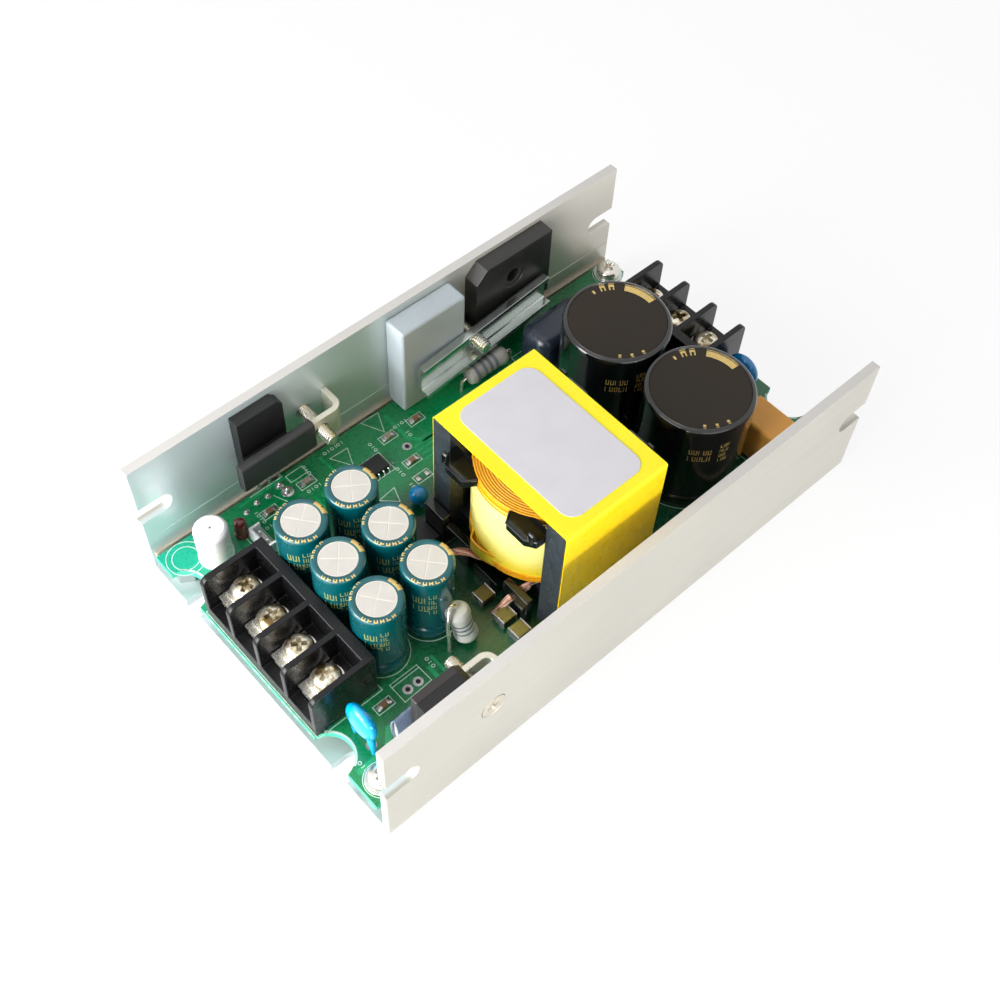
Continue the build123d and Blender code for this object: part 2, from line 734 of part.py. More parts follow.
def wire(points):
    """Round lead along a route with rounded corners."""
    route = FilletPolyline(*points, radius=lead_stand)
    return sweep(Plane(route @ 0, z_dir=route % 0) * Circle(axial_lead_diameter / 2), path=route)


def lying_resistor(x, y, length, diameter):
    """Body along X just above the board, with a lead bent down at each end."""
    height = board_top + lead_stand + diameter / 2
    body = bar_along((x - length / 2, x + length / 2), y, height, diameter / 2)
    body = fillet(body.edges(), diameter / 6)
    reach = length / 2 + 2 * lead_stand
    pieces = [body]
    for end in (-1, 1):
        pieces.append(wire([(x, y, height), (x + end * reach, y, height), (x + end * reach, y, board_top)]))
    return joined(pieces)


def standing_resistor(x, y, foot_x, foot_y):
    """Upright body whose upper lead loops over and down to its own foot."""
    top = board_top + lead_stand + upright_resistor_length
    body = post(x, y, (board_top + lead_stand, top), upright_resistor_diameter / 2)
    body = fillet(body.edges(), upright_resistor_diameter / 6)
    stub = post(x, y, (board_top, board_top + 2 * lead_stand), axial_lead_diameter / 2)
    crest = top + 2 * lead_stand
    foot = (foot_x, foot_y)
    loop = wire([(x, y, top - lead_stand), (x, y, crest), (*foot, crest), (*foot, board_top)])
    return joined([body, stub, loop])


def chip(x, y, size):
    """Block that lies on the board."""
    return block((x - size[0] / 2, x + size[0] / 2), (y - size[1] / 2, y + size[1] / 2),
                 (board_top, board_top + size[2]))


output_half = (output_poles * terminal_pitch + barrier_thickness) / 2
input_half = (input_poles * terminal_pitch + barrier_thickness) / 2
front_disc_x = board_front + front_disc_inset
front_disc_y = output_block_y - output_half - front_disc_block_gap - disc_diameter / 2
front_disc = standing_disc(front_disc_x, front_disc_y, disc_diameter, disc_thickness, front_disc_stand)
save("front_disc_capacitor", [front_disc])

film_size = (film_capacitor_width, film_capacitor_length, film_capacitor_height)
film_x = bulk_x + bulk_radius + film_capacitor_gap + film_capacitor_width / 2
film_y = -board_edge + film_capacitor_edge_gap + film_capacitor_length / 2
film = chip(film_x, film_y, film_size)
save("film_capacitor", [fillet(film.edges().group_by(Axis.Z)[-1], box_corner_radius)])

fuse_x = bulk_x + bulk_radius + fuse_gap + fuse_diameter / 2
fuse_y = (input_block_y - input_half + film_y + film_capacitor_length / 2) / 2
fuse = post(fuse_x, fuse_y, (board_top, board_top + fuse_height), fuse_diameter / 2)
save("input_fuse", [fillet(fuse.edges().group_by(Axis.Z)[-1], box_corner_radius)])
rear_disc_x = board_rear - rear_disc_inset
rear_disc_y = input_block_y - input_half - rear_disc_block_gap - disc_diameter / 2
rear_disc = standing_disc(rear_disc_x, rear_disc_y, disc_diameter, disc_thickness, lead_stand)
save("rear_disc_capacitor", [rear_disc])

line_filter_y = bulk_rows[0] + bulk_radius + line_filter_gap + line_filter_width / 2
line_filter = chip(line_filter_x, line_filter_y, (line_filter_length, line_filter_width, line_filter_height))
line_filter = fillet(line_filter.edges().filter_by(Axis.Z), line_filter_corner)
save("line_filter", [fillet(line_filter.edges().group_by(Axis.Z)[-1], line_filter_top_radius)])

snubber_x = line_filter_x - snubber_filter_offset
snubber_y = board_edge - snubber_edge_gap - axial_body_diameter / 2
save("snubber_resistor", [lying_resistor(snubber_x, snubber_y, axial_body_length, axial_body_diameter)])
upright_x = last_column_x + upright_offset
upright_y = row_places[-1] - small_capacitor_diameter / 2 - upright_capacitor_gap - upright_resistor_diameter / 2
loop_foot = (upright_x - upright_foot_x_reach, upright_y + upright_foot_y_reach)
save("upright_resistor", [standing_resistor(upright_x, upright_y, *loop_foot)])
bead_y = core_y + core_length / 2 + tape_thickness + bead_core_gap + bead_diameter / 2
save("bead_capacitor", [standing_bead(core_x - bead_core_offset, bead_y, bead_diameter)])

lens_x = board_front + lens_inset
lens_y = board_edge - lens_edge_gap - lens_diameter / 2
dome_height = board_top + lens_height
lens = post(lens_x, lens_y, (board_top, dome_height), lens_diameter / 2)
lens += Pos(lens_x, lens_y, dome_height) * Sphere(lens_diameter / 2)
save("indicator_lens", [lens])

led_x = lens_x + lens_diameter / 2 + led_gap + led_diameter / 2
header_row_room = board_edge - row_places[0] - small_capacitor_diameter / 2
led_free = header_row_room - led_diameter - header_gap - header_length
led_y = board_edge - led_free_share * led_free - led_diameter / 2
led = post(led_x, led_y, (board_top, board_top + led_height), led_diameter / 2)
led += Pos(led_x, led_y, board_top + led_height) * Sphere(led_diameter / 2)
save("red_lamp", [led])

header_x = led_x + led_diameter / 2 + header_gap
header_y = led_y - led_diameter / 2 - header_gap - header_length / 2
header = chip(header_x, header_y, (header_width, header_length, header_height))
header_room = header_length / 2 - header_wall
header -= block((header_x - header_width / 2 + header_wall, header_x + header_width),
                (header_y - header_room, header_y + header_room),
                (board_top + 2 * header_wall, board_top + 2 * header_height))
save("pin_header", [header])

controller_x = far_strap_screw_x + controller_strap_offset
controller_y = board_edge - controller_edge_inset
chip_size = (chip_package_length, chip_package_width, chip_height)
save("controller_chip", [chip(controller_x, controller_y, chip_size)])
coupler_x = rail_face_x - coupler_gap - coupler_width / 2
coupler_y = core_y + rail_half_length + coupler_gap + coupler_length / 2
save("coupler", [chip(coupler_x, coupler_y, (coupler_width, coupler_length, coupler_height))])
chip_part_size = (chip_part_length, chip_part_width, chip_part_height)
block_side_part_y = output_block_y - output_half - block_side_part_gap - chip_part_width / 2
chip_part_places = [(board_front + x, board_edge - y) for x, y in front_part_insets]
chip_part_places += [(snubber_x - x, board_edge - y) for x, y in snubber_part_insets]
chip_part_places += [(board_front + block_side_part_inset, block_side_part_y)]
save("chip_parts", [chip(x, y, chip_part_size) for x, y in chip_part_places])
block_part_size = (block_part_length, block_part_width, block_part_height)
block_part_x = rail_face_x - block_part_rail_gap - block_part_length / 2
block_part_places = [(block_part_x, core_y + offset) for offset in block_part_offsets]
save("block_capacitors", [chip(x, y, block_part_size) for x, y in block_part_places])
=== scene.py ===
import math
import random

import bmesh
import bpy
from mathutils import Matrix, Vector


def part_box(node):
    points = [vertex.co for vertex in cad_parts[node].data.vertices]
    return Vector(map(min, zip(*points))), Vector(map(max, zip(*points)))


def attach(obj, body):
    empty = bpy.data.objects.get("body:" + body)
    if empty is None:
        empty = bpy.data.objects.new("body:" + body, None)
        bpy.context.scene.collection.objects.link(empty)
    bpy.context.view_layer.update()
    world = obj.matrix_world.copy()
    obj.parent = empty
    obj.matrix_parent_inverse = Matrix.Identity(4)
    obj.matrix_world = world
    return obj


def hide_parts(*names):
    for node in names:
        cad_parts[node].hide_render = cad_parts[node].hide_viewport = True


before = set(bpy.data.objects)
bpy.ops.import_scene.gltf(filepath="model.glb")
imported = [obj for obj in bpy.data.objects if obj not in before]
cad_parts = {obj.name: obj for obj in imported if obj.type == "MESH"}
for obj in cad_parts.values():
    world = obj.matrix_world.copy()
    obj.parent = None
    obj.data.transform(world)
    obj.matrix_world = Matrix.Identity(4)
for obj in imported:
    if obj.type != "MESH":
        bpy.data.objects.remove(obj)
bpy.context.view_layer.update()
scene = bpy.context.scene
MM = 0.001
rng = random.Random(7)


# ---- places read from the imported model, in millimetres ----
def span(node):
    """Lowest and highest value of a node on each axis."""
    low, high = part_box(node)
    return [(low[i] / MM, high[i] / MM) for i in range(3)]


def middle(pair):
    return (pair[0] + pair[1]) / 2


def around(value, reach):
    return value - reach, value + reach


def centre(node):
    """Middle of a node on x and y."""
    sx, sy, _ = span(node)
    return middle(sx), middle(sy)


BOARD = span("circuit_board")
UNDER, TOP = BOARD[2]
OUTER_FACE, INNER_FACE = 38.1, 36.1
SMALL_CANS = [f"output_capacitor_{row}_{column}" for row in (1, 2, 3) for column in (1, 2)]
LARGE_CANS = ["bulk_capacitor_1", "bulk_capacitor_2"]


# ---- materials ----
def srgb(r, g, b):
    """Linear colour from a 0-255 screen colour."""
    shares = [value / 255 for value in (r, g, b)]
    return (*(v / 12.92 if v <= 0.04045 else ((v + 0.055) / 1.055) ** 2.4 for v in shares), 1.0)


class Nodes:
    """Node tree of a material or of the world."""

    def __init__(self, tree):
        self.tree = tree

    def node(self, kind, **settings):
        made = self.tree.nodes.new(kind)
        for key, value in settings.items():
            setattr(made, key, value)
        return made

    def feed(self, node, **inputs):
        """Links or sets inputs, named with underscores for spaces, or i0, i1 and so on by number."""
        for key, value in inputs.items():
            socket = node.inputs[int(key[1:]) if key[1:].isdigit() else key.replace("_", " ")]
            if isinstance(value, bpy.types.NodeSocket):
                self.tree.links.new(value, socket)
            else:
                socket.default_value = value
        return node

    def ranged(self, value, low, high, to_low, to_high, smooth=False):
        made = self.node("ShaderNodeMapRange", interpolation_type="SMOOTHSTEP" if smooth else "LINEAR")
        self.feed(made, Value=value, From_Min=low, From_Max=high, To_Min=to_low, To_Max=to_high)
        return made.outputs["Result"]

    def math(self, operation, a, b=0.0):
        return self.feed(self.node("ShaderNodeMath", operation=operation), i0=a, i1=b).outputs[0]

    def times(self, a, b):
        return self.math("MULTIPLY", a, b)

    def seen(self):
        """One for what is looked at, also in a mirror or through glass, and zero for the light it gives."""
        path = self.node("ShaderNodeLightPath").outputs
        through = self.math("MAXIMUM", path["Is Glossy Ray"], path["Is Transmission Ray"])
        return self.math("MAXIMUM", path["Is Camera Ray"], through)


class Shader(Nodes):
    """Node tree of one material, with its principled shader."""

    def __init__(self, name, roughness=0.5, metallic=0.0, **sockets):
        self.material = bpy.data.materials.new(name)
        self.material.use_nodes = True
        super().__init__(self.material.node_tree)
        self.shader = self.tree.nodes["Principled BSDF"]
        self.feed(self.shader, Roughness=roughness, Metallic=metallic, **sockets)
        self.coords = self.node("ShaderNodeTexCoord").outputs["Object"]

    def mapped(self, scale):
        return self.feed(self.node("ShaderNodeMapping"), Vector=self.coords, Scale=scale).outputs["Vector"]

    def noise(self, scale, detail=3.0, roughness=0.55, vector=None):
        made = self.node("ShaderNodeTexNoise")
        self.feed(made, Vector=vector or self.coords, Scale=scale, Detail=detail, Roughness=roughness)
        return made.outputs["Fac"]

    def varied(self, noise, low, high):
        """A noise's usual values brought to a range."""
        return self.ranged(noise, 0.3, 0.7, low, high)

    def mix(self, factor, a, b):
        return self.feed(self.node("ShaderNodeMix", data_type="RGBA"), i0=factor, i6=a, i7=b).outputs[2]

    def ramp(self, value, *stops):
        made = self.node("ShaderNodeValToRGB")
        elements = made.color_ramp.elements
        while len(elements) < len(stops):
            elements.new(0.5)
        for element, (position, colour) in zip(elements, stops):
            element.position = position
            element.color = srgb(*colour)
        return self.feed(made, Fac=value).outputs["Color"]

    def axes(self):
        return self.feed(self.node("ShaderNodeSeparateXYZ"), Vector=self.coords).outputs

    def bump(self, height, distance, strength=1.0, **normal):
        made = self.node("ShaderNodeBump")
        self.feed(made, Height=height, Distance=distance * MM, Strength=strength, **normal)
        self.feed(self.shader, Normal=made.outputs["Normal"])
        return made.outputs["Normal"]

    def finish(self, colour, gloss, low, high, grain, distance, strength):
        """Colour, a roughness that varies between two values, and a bump from noises of the given scales."""
        self.feed(self.shader, Base_Color=colour, Roughness=self.varied(self.noise(gloss), low, high))
        self.bump(self.noise(*grain), distance, strength)
        return self.material


def surface(name, colour, rough, metal=0.0, tint=0.12, patches=150, grain=2500, bump=0.01, spread=0.08,
            stretch=(1, 1, 1), dust=None, **sockets):
    """Material with uneven colour and gloss and a fine grain. Scales are per metre, bump in millimetres."""
    made = Shader(name, rough, metal, **sockets)
    dark, light = [(*(min(1, c * share) for c in srgb(*colour)[:3]), 1) for share in (1 - tint, 1 + tint)]
    cloud = made.noise(patches, 4, 0.6)
    fine = made.noise(grain, 3, 0.6, made.mapped(stretch))
    mixed = made.mix(made.varied(cloud, 0, 1), dark, light)
    if dust is not None:
        specks = made.ranged(made.noise(grain * 0.35, 2, 0.5), 0.66, 0.72, 0, 0.5)
        mixed = made.mix(specks, mixed, srgb(*dust))
    worn = made.math("ADD", made.varied(cloud, -spread, spread), made.varied(fine, *around(rough, spread / 2)))
    made.feed(made.shader, Base_Color=mixed, Roughness=worn)
    made.bump(fine, bump)
    return made.material


def board_material():
    """Green solder mask, a little uneven over the copper, with a painted highlight that makes it paler by the front far
    corner and painted shade that makes it deeper between parts.
    """
    made = Shader("board_mask", 0.3, Coat_Weight=0.35, Coat_Roughness=0.12)
    green = made.ramp(made.noise(60, 3, 0.5), (0.3, (0, 110, 60)), (0.5, (0, 124, 70)), (0.7, (6, 138, 82)))
    x, y, _ = made.axes()
    # painted highlight: a paler, bluer green by the front far corner, where strong light falls
    pale = made.times(made.ranged(x, -0.046, -0.061, 0, 1, True), made.ranged(y, 0.010, 0.030, 0, 1, True))
    green = made.mix(pale, green, srgb(0, 166, 134))
    # painted shade: dark green between the capacitors and under the transformer, fading out towards the input end
    deep = made.times(made.ranged(x, -0.045, -0.030, 0, 0.68, True), made.ranged(y, 0.018, 0.011, 0, 1, True))
    deep = made.times(deep, made.ranged(x, 0.043, 0.056, 1, 0.2, True))
    return made.finish(made.mix(deep, green, srgb(0, 36, 24)), 900, 0.22, 0.36, (1500, 2), 0.006, 0.5)


def ferrite_material():
    """Dark sintered grey with tiny bright specks."""
    made = Shader("ferrite_grey", 0.48)
    specks = made.ranged(made.noise(2400, 2, 0.5), 0.66, 0.74, 0, 1)
    body = made.mix(made.varied(made.noise(260, 4), 0, 1), srgb(30, 37, 42), srgb(42, 49, 55))
    return made.finish(made.mix(specks, body, srgb(110, 118, 122)), 700, 0.38, 0.6, (1800, 4, 0.65), 0.03, 0.8)


def film(name, pale, deep, **sockets):
    """Shader, cloud and colour of thin polyester film, a little uneven where the layers lie."""
    made = Shader(name, **sockets)
    cloud = made.noise(90, 3, 0.5)
    return made, cloud, made.mix(made.varied(cloud, 0, 1), srgb(*pale), srgb(*deep))


def tape_material(name, pale, deep, rough=0.3, side=None):
    """Glossy film, of another colour below the core's top edge where a side is given; that side colour is painted
    light, a warmer yellow standing in for how the sides are lit.
    """
    made, _, body = film(name, pale, deep, Coat_Weight=0.3, Coat_Roughness=0.15)
    if side is not None:
        # painted light: below the core's top edge the sides take their own warmer yellow, a lit copy of the tape's
        # colour
        body = made.mix(made.ranged(made.axes()[2], 0.0405, 0.0417, 1, 0), body, srgb(*side))
    return made.finish(body, 350, rough - 0.07, rough + 0.1, (70, 2, 0.5), 0.03, 0.4)


def wound_material():
    """Yellow tape over the coil, with a painted highlight that makes its upper part paler."""
    made, cloud, body = film("wound_tape", (255, 232, 70), (252, 222, 44), Coat_Weight=0.5, Coat_Roughness=0.2)
    # painted highlight: the tape turns pale yellow above a height, with a cloudy edge
    height = made.math("ADD", made.axes()[2], made.times(cloud, 0.004))
    body = made.mix(made.ranged(height, 0.020, 0.027, 0, 1, True), body, srgb(255, 243, 146))
    return made.finish(body, 350, 0.15, 0.32, (70, 2, 0.5), 0.03, 0.4)


def nickel_reflection_material():
    """Nickel with painted reflections: dark brown patches between pale cream ones stand in for what the heads mirror.
    """
    made = Shader("nickel_painted_reflections", 0.3, 0.85)
    # painted reflection: brown and cream patches over the nickel
    painted_reflections = made.ramp(made.noise(420, 3, 0.5), (0.38, (112, 92, 58)), (0.5, (196, 184, 156)), (0.6, (236, 230, 214)))
    return made.finish(painted_reflections, 1800, 0.22, 0.4, (2400, 3), 0.01, 0.7)


def sheet_material():
    """Satin aluminium sheet with the fine lines of rolling. Painted light: the outside is a greyer shaded copy and the
    inside a paler, warmer lit copy of the metal, and the inside by the front has a cooler painted reflection.
    """
    made = Shader("satin_sheet", 0.36, 0.5)
    lines = made.noise(900, 4, 0.6, made.mapped((0.04, 1, 1)))
    cloud = made.noise(40, 3, 0.5)
    x, y, _ = made.axes()
    # painted light: inside faces get a paler, warmer lit copy of the colour, outside faces a greyer shaded one
    inside = made.ranged(made.math("ABSOLUTE", y), 0.0375, 0.0368, 0, 1)
    outside = made.mix(made.varied(cloud, 0, 1), srgb(183, 180, 170), srgb(191, 188, 178))
    lit_inside = made.mix(inside, outside, srgb(218, 212, 200))
    # painted reflection: the inside goes cooler and paler towards the front
    painted_front_reflection = made.times(inside, made.ranged(x, -0.02, 0.04, 1, 0.1, True))
    worn = made.math("ADD", made.varied(lines, 0.3, 0.4), made.varied(cloud, -0.03, 0.03))
    made.feed(made.shader, Base_Color=made.mix(painted_front_reflection, lit_inside, srgb(202, 215, 217)), Roughness=worn)
    made.bump(made.noise(2600, 2), 0.004, 0.5, Normal=made.bump(lines, 0.004, 0.6))
    return made.material


# name, colour, roughness, metal, unevenness of the colour, scales of its patches and of the grain, bump
SHEET = sheet_material()
# painted highlight for the top faces of the walls, a paler copy of the sheet
SHEET_TOP_HIGHLIGHT = surface("sheet_top_highlight", (205, 202, 198), 0.5, 0.15, 0.02, 60, 900, 0.0, 0.03)
LEDGE = surface("sheet_ledge", (198, 184, 166), 0.4, 0.3, 0.05, 120, 1800, 0.003)
NICKEL = surface("nickel_metal", (226, 222, 212), 0.22, 0.85, 0.05, 600, 2400, 0.002)
DULL_SHADED_NICKEL = surface("dull_shaded_nickel", (200, 192, 176), 0.36, 0.7, 0.14, 600, 2400, 0.004)
REFLECTED_NICKEL = nickel_reflection_material()
ZINC = surface("zinc_metal", (200, 206, 202), 0.2, 0.95, 0.08, 120, 1200, 0.002, stretch=(0.08, 1, 1))
STRAP = surface("strap_metal", (226, 220, 204), 0.34, 0.6, 0.06, 300, 1800, 0.006)
SOLDER = surface("solder_metal", (196, 192, 194), 0.25, 0.8, 0.1, 700, 1400, 0.02)
BOARD_GREEN = board_material()
TRACK = surface("mask_on_track", (22, 156, 96), 0.28, 0, 0.08, 400, 2200, 0.006, Coat_Weight=0.35, Coat_Roughness=0.12)
BOARD_EDGE = surface("board_edge", (60, 182, 150), 0.5, 0, 0.15, 500, 3000, 0.02, stretch=(0.2, 0.2, 2))
SILK = surface("white_ink", (196, 222, 208), 0.5, 0, 0.08, 700, 2600, 0.008)
BLACK = surface("moulded_black", (17, 17, 19), 0.27, 0, 0.2, 120, 1700, 0.012, dust=(36, 35, 34),
                Specular_IOR_Level=0.35)
PACKAGE = surface("package_black", (24, 24, 25), 0.42, 0, 0.16, 200, 3400, 0.02, Specular_IOR_Level=0.4)
GLOSS_BLACK = surface("bobbin_black", (16, 17, 18), 0.16, 0, 0.2, 200, 1500, 0.008, Coat_Weight=0.5)
TEAL = surface("teal_sleeve", (0, 84, 90), 0.2, 0, 0.1, 110, 900, 0.012, Coat_Weight=0.4, Coat_Roughness=0.12)
GOLD_INK = surface("gold_ink", (214, 184, 112), 0.4, 0, 0.12, 900, 2600, 0.004)
SIDE_INK = surface("side_ink", (150, 156, 92), 0.4, 0, 0.12, 900, 2600, 0.004)
# ink for print on the caps, also used as painted shadow round the wall screws
DARK_INK_AND_SHADE = surface("dark_ink_and_shade", (70, 60, 34), 0.5, 0, 0.1, 900)
CAN_LIT_METAL = surface("can_metal_lit", (226, 222, 212), 0.4, 0.2, 0.03, 400, 2600, 0.006)
CAN_FACE = surface("can_face", (207, 203, 196), 0.42, 0.2, 0.05, 260, 2600, 0.006)
DARK_SLEEVE = surface("dark_sleeve", (13, 15, 17), 0.14, 0, 0.25, 90, 700, 0.012, Coat_Weight=0.5, Coat_Roughness=0.08)
DARK_TOP = surface("dark_top", (38, 31, 22), 0.45, 0, 0.12, 130, 2200, 0.012, Specular_IOR_Level=0.25)
RIM_SHINE = surface("rim_shine", (66, 64, 60), 0.22, 0.4, 0.1, 300, 1500)
FERRITE = ferrite_material()
RECTIFIER_SHEEN = surface("rectifier_black_sheen", (40, 39, 38), 0.38, 0, 0.14, 160, 3400, 0.02)
# the side colour here is painted light on the tape's sides
TAPE = tape_material("yellow_tape", (252, 238, 24), (246, 228, 10), side=(255, 216, 16))
WOUND_TAPE = wound_material()
LAYER_TAPE = tape_material("layer_tape", (244, 182, 40), (234, 158, 22), 0.25)
LABEL = surface("label_paper", (206, 204, 209), 0.42, 0, 0.03, 160, 2200)
BRAID = surface("braid_copper", (206, 150, 122), 0.32, 0.75, 0.25, 1400, 2400)
BRAID_RED = surface("braid_red", (176, 66, 42), 0.3, 0.7, 0.3, 1400, 2400)
BRAID_PALE = surface("braid_pale", (222, 196, 176), 0.34, 0.5, 0.15, 1400, 2400)
SILICONE = surface("silicone_grey", (172, 182, 188), 0.5, 0, 0.06, 140, 1900, 0.02)
RUBBER = surface("sleeve_rubber", (46, 46, 47), 0.5, 0, 0.12, 240, 2400, 0.02)
RUBBER_WARM = surface("sleeve_warm", (44, 40, 39), 0.4, 0, 0.14, 240, 2000, 0.02)
RUBBER_BLUE_REFLECTION = surface("sleeve_painted_reflection", (112, 124, 146), 0.25, 0, 0.14, 200, 1500, 0.02)
BLUE = surface("epoxy_blue", (10, 146, 224), 0.16, 0, 0.12, 260, 900, 0.02, Coat_Weight=0.6, Coat_Roughness=0.06)
CYAN = surface("epoxy_cyan", (0, 172, 232), 0.16, 0, 0.1, 260, 900, 0.02, Coat_Weight=0.6, Coat_Roughness=0.06)
BAND_BODY = surface("resistor_body", (206, 206, 200), 0.34, 0, 0.05, 400, 1800)
BAND_SHADED = surface("resistor_body_shaded", (158, 158, 154), 0.34, 0, 0.06, 400, 1800)
BAND_DARK = surface("resistor_band", (104, 110, 124), 0.34, 0, 0.12, 700)
ORANGE = surface("film_orange", (248, 178, 84), 0.4, 0, 0.07, 140, 1500, 0.02)
FILTER = surface("filter_dark", (32, 40, 52), 0.22, 0, 0.12, 140, 1500, 0.015)
LENS = surface("lens_white", (242, 242, 240), 0.28, 0, 0.02, 300, 1500, Subsurface_Weight=0.3, Subsurface_Scale=0.002)
LAMP = surface("lamp_red", (112, 28, 28), 0.12, 0, 0.2, 600, 1500, Coat_Weight=0.6)
WHITE_NYLON = surface("white_nylon", (232, 235, 236), 0.36, 0, 0.03, 400, 2200, 0.012)
CHIP_BROWN = surface("chip_brown", (128, 96, 72), 0.4, 0, 0.16, 900, 2600, 0.012)
CHIP_GREY = surface("chip_grey", (152, 140, 120), 0.4, 0, 0.12, 900, 2600, 0.012)
OLIVE_LIT_TOP = surface("block_olive", (140, 125, 62), 0.34, 0, 0.14, 700, 2200, 0.014)
OLIVE_SHADED_SIDE = surface("block_side_shaded", (52, 46, 28), 0.36, 0, 0.16, 700, 2200, 0.014)
LINER = surface("liner_film", (60, 62, 60), 0.4, 0, 0.1, 120, 900, 0.03)
FUSE_BODY = surface("fuse_body", (44, 34, 30), 0.3, 0, 0.1, 300, 1500)


def linked(name, data):
    """New object in the scene."""
    made = bpy.data.objects.new(name, data)
    scene.collection.objects.link(made)
    return made


# ---- shapes, in millimetres ----
def at(x, y, z, turn=0.0, axis="Z"):
    """Place of a shape, with a turn in degrees about its own origin."""
    return Matrix.Translation((x, y, z)) @ Matrix.Rotation(math.radians(turn), 4, axis)


def put(shape, *place):
    """The shape moved to where at() says."""
    shape.transform(at(*place))
    return shape


def turns(count):
    return [2 * math.pi * k / count for k in range(count)]


def arc(cx, cy, radius, start, end, steps=6):
    """Points along an arc, angles in degrees."""
    angles = [math.radians(start + (end - start) * i / steps) for i in range(steps + 1)]
    return [(cx + radius * math.cos(a), cy + radius * math.sin(a)) for a in angles]


def rounded(y0, y1, z0, z1, radius, steps=5):
    """Rounded rectangle as y z pairs."""
    near, far, low, high = y0 + radius, y1 - radius, z0 + radius, z1 - radius
    corners = ((far, high), (near, high), (near, low), (far, low))
    return [point for k, (y, z) in enumerate(corners) for point in arc(y, z, radius, 90 * k, 90 * k + 90, steps)]


def smooth_path(points, steps=8):
    """Points on a smooth curve through the given ones."""
    p = [Vector(q) for q in (points[0], *points, points[-1])]
    out = []
    for a, b, c, d in zip(p, p[1:], p[2:], p[3:]):
        for t in (s / steps for s in range(steps)):
            out.append(0.5 * ((2 * b) + (c - a) * t + (2 * a - 5 * b + 4 * c - d) * t * t
                              + (3 * b - a - 3 * c + d) * t ** 3))
    return out + [p[-2]]


def box(x, y, z):
    """Plain block between two values on each axis."""
    bm = bmesh.new()
    bmesh.ops.create_cube(bm, size=1.0)
    size = Matrix.Diagonal((x[1] - x[0], y[1] - y[0], z[1] - z[0], 1))
    bm.transform(Matrix.Translation((middle(x), middle(y), middle(z))) @ size)
    return bm


def soften(bm, width, segments=2, angle=30, only=None):
    """Rounds every edge sharper than an angle."""
    bm.normal_update()
    limit = math.radians(angle)
    edges = [e for e in bm.edges if len(e.link_faces) == 2 and e.calc_face_angle(0) > limit
             and (only is None or only((e.verts[0].co + e.verts[1].co) / 2))]
    bmesh.ops.bevel(bm, geom=edges, offset=width, segments=segments, profile=0.5, affect="EDGES", clamp_overlap=True)
    return bm


def loft(bm, rings, looped=False):
    """Faces from each ring of vertices to the next, where a ring may be one point. Open ends are closed."""
    for low, high in zip(rings, rings[1:] + (rings[:1] if looped else [])):
        count = max(len(low), len(high))
        for i in range(count):
            j = (i + 1) % count
            corners = [low[0]] if len(low) == 1 else [low[i], low[j]]
            corners += [high[0]] if len(high) == 1 else [high[j], high[i]]
            if len(corners) > 2:
                bm.faces.new(corners)
    if not looped:
        for ring in (rings[0][::-1], rings[-1]):
            if len(ring) > 1:
                bm.faces.new(ring)
    bmesh.ops.recalc_face_normals(bm, faces=bm.faces)
    return bm


def turned(profile, sides=48):
    """Solid of revolution about Z from (radius, height) pairs, listed from its lower end to its upper end."""
    bm = bmesh.new()
    looped = profile[0] == profile[-1]
    rings = []
    for radius, height in profile[:-1] if looped else profile:
        angles = turns(sides) if radius > 1e-6 else [0.0]
        rings.append([bm.verts.new((radius * math.cos(a), radius * math.sin(a), height)) for a in angles])
    return loft(bm, rings, looped)


def rod(radius, low, high, sides=32):
    return turned([(0, low), (radius, low), (radius, high), (0, high)], sides)


def hoop(inner, outer, low, high, sides=48):
    return turned([(inner, low), (outer, low), (outer, high), (inner, high), (inner, low)], sides)


def prism(outline, low, high, axis="Z"):
    """Straight solid over a flat outline. The outline's pairs are x y, y z or x z."""
    bm = bmesh.new()
    order = {"Z": lambda a, b, c: (a, b, c), "X": lambda a, b, c: (c, a, b), "Y": lambda a, b, c: (a, c, b)}[axis]
    first, last = [[bm.verts.new(order(a, b, level)) for a, b in outline] for level in (low, high)]
    bm.faces.new(first)
    bm.faces.new(last[::-1])
    for i in range(len(outline)):
        j = (i + 1) % len(outline)
        bm.faces.new((first[i], last[i], last[j], first[j]))
    bmesh.ops.recalc_face_normals(bm, faces=bm.faces)
    return bm


def across(points):
    """Each point of a path with two directions across it, which don't twist on the way."""
    out, normal = [], None
    for i, p in enumerate(points):
        ahead = (points[min(i + 1, len(points) - 1)] - points[max(i - 1, 0)]).normalized()
        if normal is None:
            normal = ahead.orthogonal().normalized()
        normal = (normal - ahead * normal.dot(ahead)).normalized()
        out.append((p, normal, ahead.cross(normal)))
    return out


def tube(points, radius, sides=10, round_ends=True):
    """Round bar along a list of points, its radius a number or one per point."""
    pts = [Vector(p) for p in points]
    radii = radius if isinstance(radius, list) else [radius] * len(pts)
    if round_ends:
        start = (pts[0] - pts[1]).normalized() * radii[0] * 0.35
        end = (pts[-1] - pts[-2]).normalized() * radii[-1] * 0.35
        pts = [pts[0] + start] + pts + [pts[-1] + end]
        radii = [radii[0] * 0.6] + radii + [radii[-1] * 0.6]
    bm = bmesh.new()
    rings = [[bm.verts.new(p + (u * math.cos(a) + v * math.sin(a)) * r) for a in turns(sides)]
             for (p, u, v), r in zip(across(pts), radii)]
    return loft(bm, rings)


def loose(bm):
    """Temporary object from a shape."""
    mesh = bpy.data.meshes.new("loose")
    bm.to_mesh(mesh)
    return linked("loose", mesh)


